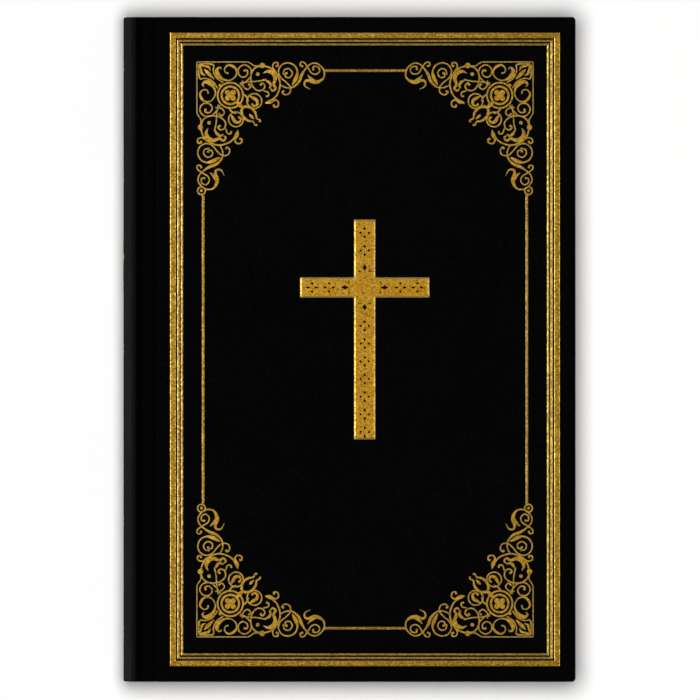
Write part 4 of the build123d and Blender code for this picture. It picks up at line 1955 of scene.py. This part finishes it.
@dataclass
class Endpapers:
    """The free and fixed halves of the endpaper inside one cover."""

    side: Side
    palette: Palette
    thickness: float = 0.15
    turn_in: float = 15.15
    dip: float = 0.5
    ease_width: float = 1.6

    def sheet(self, name: str, path: Sequence[Point2], half: float) -> Piece:
        """Makes a sheet of paper along a line.

        Args:
            name: Its name.
            path: X and Z of its middle, from the spine outwards, for the front cover.
            half: Half its height from tail to head.

        Returns:
            The sheet.
        """
        h = self.thickness / 2
        section = [(half, h), (-half, h), (-half, -h), (half, -h)]
        piece = strip(name, path, lambda n: section, [self.palette.endpaper])
        return mirrored(piece) if self.side is Side.BACK else piece

    def flyleaf(self) -> Piece:
        """Builds the free half.

        Returns:
            The leaf.
        """
        node = f"{self.side.value}_flyleaf"
        low, high = box_mm(node)
        fold_x = float(box_mm(f"{self.side.value}_endpaper_fold")[0][0])
        z = float(low[2] + high[2]) / 2
        z = z if self.side is Side.FRONT else 2 * LAYOUT.mid_z - z
        cuts = [*np.linspace(fold_x, float(low[0]), 17), 20.0, float(high[0])]
        piece = self.sheet("sheet_" + node, [(float(x), z) for x in cuts], LAYOUT.leaf_half)
        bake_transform(piece)
        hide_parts(node, f"{self.side.value}_endpaper_fold")
        return piece

    def hinge(self) -> Piece:
        """Builds the paper that crosses the joint from the pastedown to the gutter.

        Returns:
            The paper.
        """
        low, high = box_mm(f"{self.side.value}_pastedown")
        fold_x = float(box_mm(f"{self.side.value}_endpaper_fold")[0][0])
        z = float(low[2]) if self.side is Side.FRONT else 2 * LAYOUT.mid_z - float(high[2])
        level = z + self.thickness / 2
        reach = float(low[0]) - fold_x
        path = [(fold_x + reach * s, level - 0.2 * (1 - s) ** 2) for s in np.linspace(0, 1, 13)]
        piece = self.sheet(f"{self.side.value}_joint_paper", path, LAYOUT.leaf_half)
        start, end = self.side.flip([(path[0][0], 0.0, level), (path[-1][0], 0.0, level)])
        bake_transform(piece)
        return piece

    def eased(self, distance: float) -> float:
        """Rises softly from 0 to 1 over the width of a ridge.

        Args:
            distance: Distance in from the ridge's outer edge.

        Returns:
            The share.
        """
        s = min(max(distance / self.ease_width, 0.0), 1.0)
        return s * s * (3 - 2 * s)

    def stations(self, low: float, high: float, ridges: Sequence[float]) -> list[float]:
        """Places grid lines across the sheet, close together where it dips.

        Args:
            low: First edge.
            high: Last edge.
            ridges: Where each dip starts.

        Returns:
            The grid lines in order.
        """
        close = [start + self.ease_width * s for start in ridges for s in np.linspace(0, 1, 8)]
        return sorted({round(float(v), 4) for v in [low, (low + high) / 2, high, *close]})

    def pastedown(self) -> Piece:
        """Builds the half glued to the board, dipping softly between the leather's turned-in edges.

        Returns:
            The sheet, on its cover.
        """
        node = f"{self.side.value}_pastedown"
        low, high = box_mm(node)
        spine_x, fore_x = LAYOUT.board_left, LAYOUT.fore_x - self.turn_in
        half = LAYOUT.head_y - self.turn_in
        flange_low, flange_high = box_mm(f"{self.side.value}_mull_flange")
        flange_x, cloth = float(flange_high[0]) + self.thickness, float(flange_high[2] - flange_low[2])
        level = LAYOUT.turn_in_z - self.thickness
        xs = self.stations(float(low[0]), float(high[0]), (spine_x, flange_x, fore_x - self.ease_width))
        ys = self.stations(float(low[1]), float(high[1]), (-half, half - self.ease_width))
        under: list[Point3] = []
        for x in xs:
            for y in ys:
                share = self.eased(x - spine_x) * self.eased(fore_x - x) * self.eased(half - abs(y))
                depth = self.dip - cloth * (1 - self.eased(x - flange_x))
                under.append((x, y, level + depth * share))
        points = [*under, *[(x, y, z + self.thickness) for x, y, z in under]]
        over, rows, last = len(under), len(ys), (len(xs) - 1) * len(ys)
        faces: list[Face] = []
        for a in [n * rows + m for n in range(len(xs) - 1) for m in range(rows - 1)]:
            faces.append((a, a + 1, a + rows + 1, a + rows))
            faces.append((over + a, over + a + rows, over + a + rows + 1, over + a + 1))
        for a in range(0, last, rows):
            b, c = a + rows, a + rows - 1
            faces += [(a, b, b + over, a + over), (c + rows, c, c + over, c + rows + over)]
        for a in range(rows - 1):
            b = last + a
            faces += [(a + 1, a, a + over, a + 1 + over), (b, b + 1, b + 1 + over, b + over)]
        points, faces = self.side.flip(points), self.side.turn(faces)
        piece = new_piece(f"{node}_sheet", points, faces, [self.palette.endpaper])
        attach(piece, f"{self.side.value}_cover")
        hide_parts(node)
        return piece

    def build(self) -> list[Piece]:
        """Builds the flyleaf, the joint's paper and the pastedown."""
        return [self.flyleaf(), self.hinge(), self.pastedown()]


@dataclass
class Endband:
    """The worked band at one end of the spine: a core, its silk wraps, and the cloth it is sewn on."""

    head: bool
    palette: Palette
    core: float = 0.72
    wrap: float = 0.24
    pitch: float = 0.46
    half: float = 15.3
    skirt: float = 14.0
    cloth: float = 0.1
    cloth_off: float = 0.31

    @property
    def node(self) -> str:
        """The CAD node that this band stands for."""
        return "head_band" if self.head else "tail_band"

    @staticmethod
    def wrap_tree() -> Tree:
        """Winds two colours of thread in turn round a core that follows a line.

        Returns:
            The geometry tree.
        """
        inputs = [("Geometry", "Geometry"), ("Core", "Float"), ("Wrap", "Float")]
        inputs += [("Pitch", "Float"), ("Light", "Material"), ("Dark", "Material")]
        g, given, leave = tree_with("worked band", "GeometryNodeTree", inputs, inputs[:1])
        curve = g.add("GeometryNodeMeshToCurve", Mesh=given["Geometry"]).outputs[0]
        round_core = g.add("GeometryNodeCurvePrimitiveCircle", Resolution=10, Radius=given["Core"])
        outline = round_core.outputs[0]
        core = g.add("GeometryNodeCurveToMesh", Curve=curve, Profile_Curve=outline, Fill_Caps=True)
        core = g.add("GeometryNodeSetMaterial", Geometry=core.outputs[0], Material=given["Dark"])
        loop = g.add("GeometryNodeCurvePrimitiveCircle", Resolution=12, Radius=given["Core"])
        strand = g.add("GeometryNodeCurvePrimitiveCircle", Resolution=6, Radius=given["Wrap"])
        turn = g.add("GeometryNodeCurveToMesh", Curve=loop.outputs[0], Profile_Curve=strand.outputs[0])
        spots = g.add("GeometryNodeCurveToPoints", {"mode": "LENGTH"}, Curve=curve, Length=given["Pitch"])
        index = g.add("GeometryNodeInputIndex").outputs[0]
        odd = g.math("GREATER_THAN", g.math("MODULO", index, 3.0), 1.5)
        parts = [core.outputs[0]]
        for finish, choice in ((given["Light"], g.math("SUBTRACT", 1.0, odd)), (given["Dark"], odd)):
            wound = g.add(
                "GeometryNodeInstanceOnPoints",
                Points=spots.outputs["Points"],
                Selection=choice,
                Instance=turn.outputs[0],
                Rotation=spots.outputs["Rotation"],
            )
            coloured = g.add("GeometryNodeSetMaterial", Geometry=wound.outputs[0], Material=finish)
            parts.append(coloured.outputs[0])
        gather = g.tree.nodes.new("GeometryNodeJoinGeometry")
        for part in parts:
            g.tree.links.new(part, gather.inputs[0])
        real = g.add("GeometryNodeRealizeInstances", Geometry=gather.outputs[0])
        g.tree.links.new(real.outputs[0], leave.inputs[0])
        return g.tree

    def build(self, tree: Tree) -> Piece:
        """Builds the band.

        Args:
            tree: The tree that winds its thread.

        Returns:
            The band.
        """
        lay = LAYOUT
        side = 1 if self.head else -1
        outside = self.core + self.wrap
        y = side * (lay.leaf_half + outside - 0.05)
        path = arc_path(lay.fold_radius - outside + 0.1, lay.mid_z - self.half, lay.mid_z + self.half, 48)
        wires = bpy.data.meshes.new("band_line")
        links = [(n, n + 1) for n in range(len(path) - 1)]
        wires.from_pydata([in_metres((x, y, z)) for x, z in path], links, [])
        values = {
            "Core": self.core * MM,
            "Wrap": self.wrap * MM,
            "Pitch": self.pitch * MM,
            "Light": self.palette.silk_gold,
            "Dark": self.palette.silk_dark,
        }
        bead = stand(self.node + "_wraps", grown(self.node, wires, tree, values), [], 60.0)
        ends = sorted((side * (lay.leaf_half - self.skirt), side * (lay.leaf_half + 0.8)))
        arc = arc_path(lay.fold_radius + self.cloth_off, lay.mid_z + self.half, lay.mid_z - self.half, 16)
        h = self.cloth / 2
        outline = [(ends[0], -h), (ends[1], -h), (ends[1], h), (ends[0], h)]
        cloth = strip(self.node + "_cloth", arc, lambda n: outline, [self.palette.mull])
        piece = joined("worked_" + self.node, [bead, cloth])
        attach(piece, "text_block")
        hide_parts(self.node)
        return piece


class PackedParts:
    """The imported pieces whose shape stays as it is; they only get their finish."""

    @staticmethod
    def dress(palette: Palette) -> list[Piece]:
        """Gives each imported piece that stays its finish.

        Args:
            palette: The finishes.

        Returns:
            The pieces.
        """
        finishes = {
            "front_board": palette.board,
            "back_board": palette.board,
            "front_mull_flange": palette.mull,
            "back_mull_flange": palette.mull,
            "mull": palette.mull,
            "spine_glue": palette.glue,
            "sewing_thread": palette.thread,
            "spine_lining_paper": palette.kraft,
            "spine_stiffener": palette.kraft,
        }
        for name, finish in finishes.items():
            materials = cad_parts[name].data.materials
            materials.clear()
            materials.append(finish)
        return [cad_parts[name] for name in finishes]


# ---- Studio --------------------------------------------------------------------------------------


@dataclass
class Studio:
    """Pale floor, soft lamps that each light only some of the pieces, and a camera overhead."""

    floor_half: float = 4.0
    floor_shades: tuple[float, float] = (0.86, 0.89)
    reflected_floor_shade: float = 0.3
    lens: float = 1500.0
    sensor: float = 36.0
    field: float = 247.4
    centre: Point2 = (0.3, 0.2)
    wash_power: float = 44.7
    wash_place: Point3 = (-0.018, 0.01, 2.0)
    wash_size: float = 0.62
    page_power: float = 19.0
    sky_strength: float = 0.12
    softboxes: tuple[tuple[str, Point3, float, float], ...] = (
        ("left_softbox", (-0.62, 0.1, 0.85), 0.35, 6.4),
        ("right_softbox", (0.75, -0.05, 0.95), 0.4, 3.1),
    )
    leather_softboxes: tuple[tuple[str, Point3, float, float], ...] = (
        ("head_softbox", (0.2, 1.3, 0.75), 0.9, 10.0),
        ("tail_softbox", (-0.3, -1.3, 0.7), 0.9, 10.0),
    )

    def floor(self) -> Piece:
        """Lays the pale floor, painted darker in what glossy surfaces reflect of it.

        Returns:
            The floor, which is staged and isn't part of the book.
        """
        mesh = bpy.data.meshes.new("floor")
        h = self.floor_half
        mesh.from_pydata([(-h, -h, 0), (h, -h, 0), (h, h, 0), (-h, h, 0)], [], [(0, 1, 2, 3)])
        material = bpy.data.materials.new("pale floor")
        material.use_nodes = True
        g = Graph(material.node_tree)
        surface = material.node_tree.nodes["Principled BSDF"]
        place = g.add("ShaderNodeTexCoord").outputs["Object"]
        soft = g.add("ShaderNodeTexNoise", Vector=place, Scale=3.0, Detail=2.0)
        darker, lighter = ((v, v, v, 1.0) for v in self.floor_shades)
        pale = g.mix(soft.outputs["Fac"], darker, lighter)
        # Glossy rays see the floor darker than it is: a painted darkening of its reflection in the book.
        glossy = g.add("ShaderNodeLightPath").outputs["Is Glossy Ray"]
        reflection_shade_share = g.math("MULTIPLY", glossy, self.reflected_floor_shade)
        g.feed(surface, Base_Color=g.mix(reflection_shade_share, pale, (0.0, 0.0, 0.0, 1)))
        g.feed(surface, Roughness=0.9, Specular_IOR_Level=0.1)
        mesh.materials.append(material)
        floor = bpy.data.objects.new("floor", mesh)
        bpy.context.scene.collection.objects.link(floor)
        return floor

    def lamp(
        self, name: str, place: Point3, size: float, power: float, aim: Point3 = (0, 0, 0.02)
    ) -> Piece:
        """Hangs a round soft lamp.

        Args:
            name: Its name.
            place: Where it hangs, in metres.
            size: Its diameter in metres.
            power: Its power in watts.
            aim: What it points at.

        Returns:
            The lamp.
        """
        light = bpy.data.lights.new(name, "AREA")
        light.shape = "DISK"
        light.size = size
        light.energy = power
        lamp = bpy.data.objects.new(name, light)
        lamp.location = place
        lamp.rotation_euler = (Vector(place) - Vector(aim)).to_track_quat("Z", "Y").to_euler()
        bpy.context.scene.collection.objects.link(lamp)
        return lamp

    def sky(self) -> None:
        """Adds a faint light from all round, darker overhead."""
        world = bpy.data.worlds.new("studio")
        bpy.context.scene.world = world
        world.use_nodes = True
        g = Graph(world.node_tree)
        place = g.add("ShaderNodeTexCoord").outputs["Generated"]
        height = g.add("ShaderNodeSeparateXYZ", Vector=place).outputs["Z"]
        ramp = g.tree.nodes.new("ShaderNodeValToRGB")
        g.tree.links.new(height, ramp.inputs[0])
        stops = ((0.0, 1.0), (0.45, 0.8), (0.75, 0.25), (0.93, 0.04), (1.0, 0.04))
        elements = ramp.color_ramp.elements
        while len(elements) < len(stops):
            elements.new(0.5)
        for element, (at, value) in zip(elements, stops):
            element.position = at
            element.color = (value, value, value, 1.0)
        background = world.node_tree.nodes["Background"]
        g.tree.links.new(ramp.outputs[0], background.inputs["Color"])
        background.inputs["Strength"].default_value = self.sky_strength

    def aim_only(self, lamp: Piece, pieces: Sequence[Piece], state: str) -> None:
        """Makes a lamp light only some pieces, or all but those.

        Args:
            lamp: The lamp.
            pieces: The pieces.
            state: INCLUDE to light these alone, EXCLUDE to light the others.
        """
        receivers = bpy.data.collections.new(lamp.name + " receivers")
        for piece in pieces:
            receivers.objects.link(piece)
        for entry in receivers.collection_objects:
            entry.light_linking.link_state = state
        lamp.light_linking.receiver_collection = receivers

    def build(self, leather: Sequence[Piece], paper: Sequence[Piece]) -> None:
        """Builds the floor, the lights and the camera.

        Args:
            leather: The leather pieces, which have large soft lamps of their own.
            paper: The leaves, endpapers and inner pieces, which a lamp overhead also lights.
        """
        floor = self.floor()
        self.sky()
        washes = (("floor_wash", self.wash_power, [floor]), ("page_wash", self.page_power, paper))
        for name, power, lit in washes:
            self.aim_only(self.lamp(name, self.wash_place, self.wash_size, power), lit, "INCLUDE")
        for box in self.softboxes:
            self.aim_only(self.lamp(*box), [floor, *leather], "EXCLUDE")
        for box in self.leather_softboxes:
            self.aim_only(self.lamp(*box), leather, "INCLUDE")
        camera = bpy.data.cameras.new("camera")
        camera.lens = self.lens
        camera.sensor_width = self.sensor
        camera.clip_start, camera.clip_end = 0.05, 100.0
        holder = bpy.data.objects.new("camera", camera)
        distance = self.field * MM * self.lens / self.sensor
        holder.location = (self.centre[0] * MM, -self.centre[1] * MM, LAYOUT.face_z * MM + distance)
        bpy.context.scene.collection.objects.link(holder)
        bpy.context.scene.camera = holder
        bpy.context.scene.view_settings.view_transform = "Standard"
        bpy.context.scene.view_settings.look = "None"


def report(pieces: Iterable[Piece]) -> None:
    """Logs the name and face count of each finished piece.

    Args:
        pieces: The pieces.
    """
    for piece in pieces:
        LOG.info("%s: %d faces", piece.name, len(piece.data.polygons))


def main() -> None:
    """Builds the book and its studio."""
    logging.basicConfig(level=logging.INFO, format="%(name)s %(message)s")
    palette = Palette.mixed()
    leather = [CoverLeather(side, palette).build() for side in Side] + SpineLeather(palette).build()
    report(leather)
    paper = [piece for side in Side for piece in Endpapers(side, palette).build()]
    paper += TextBlock(palette).build()
    report(paper)
    winding = Endband.wrap_tree()
    report([Endband(head, palette).build(winding) for head in (True, False)])
    report(CoverFrame(palette).build())
    report(CornerOrnament(palette, head, fore).build() for head in (True, False) for fore in (True, False))
    report([Cross(palette).build(), SpineFoil(palette).build()])
    packed = PackedParts.dress(palette)
    report(packed)
    Studio().build(leather, [*paper, *packed])


if __name__ == "__main__":
    main()
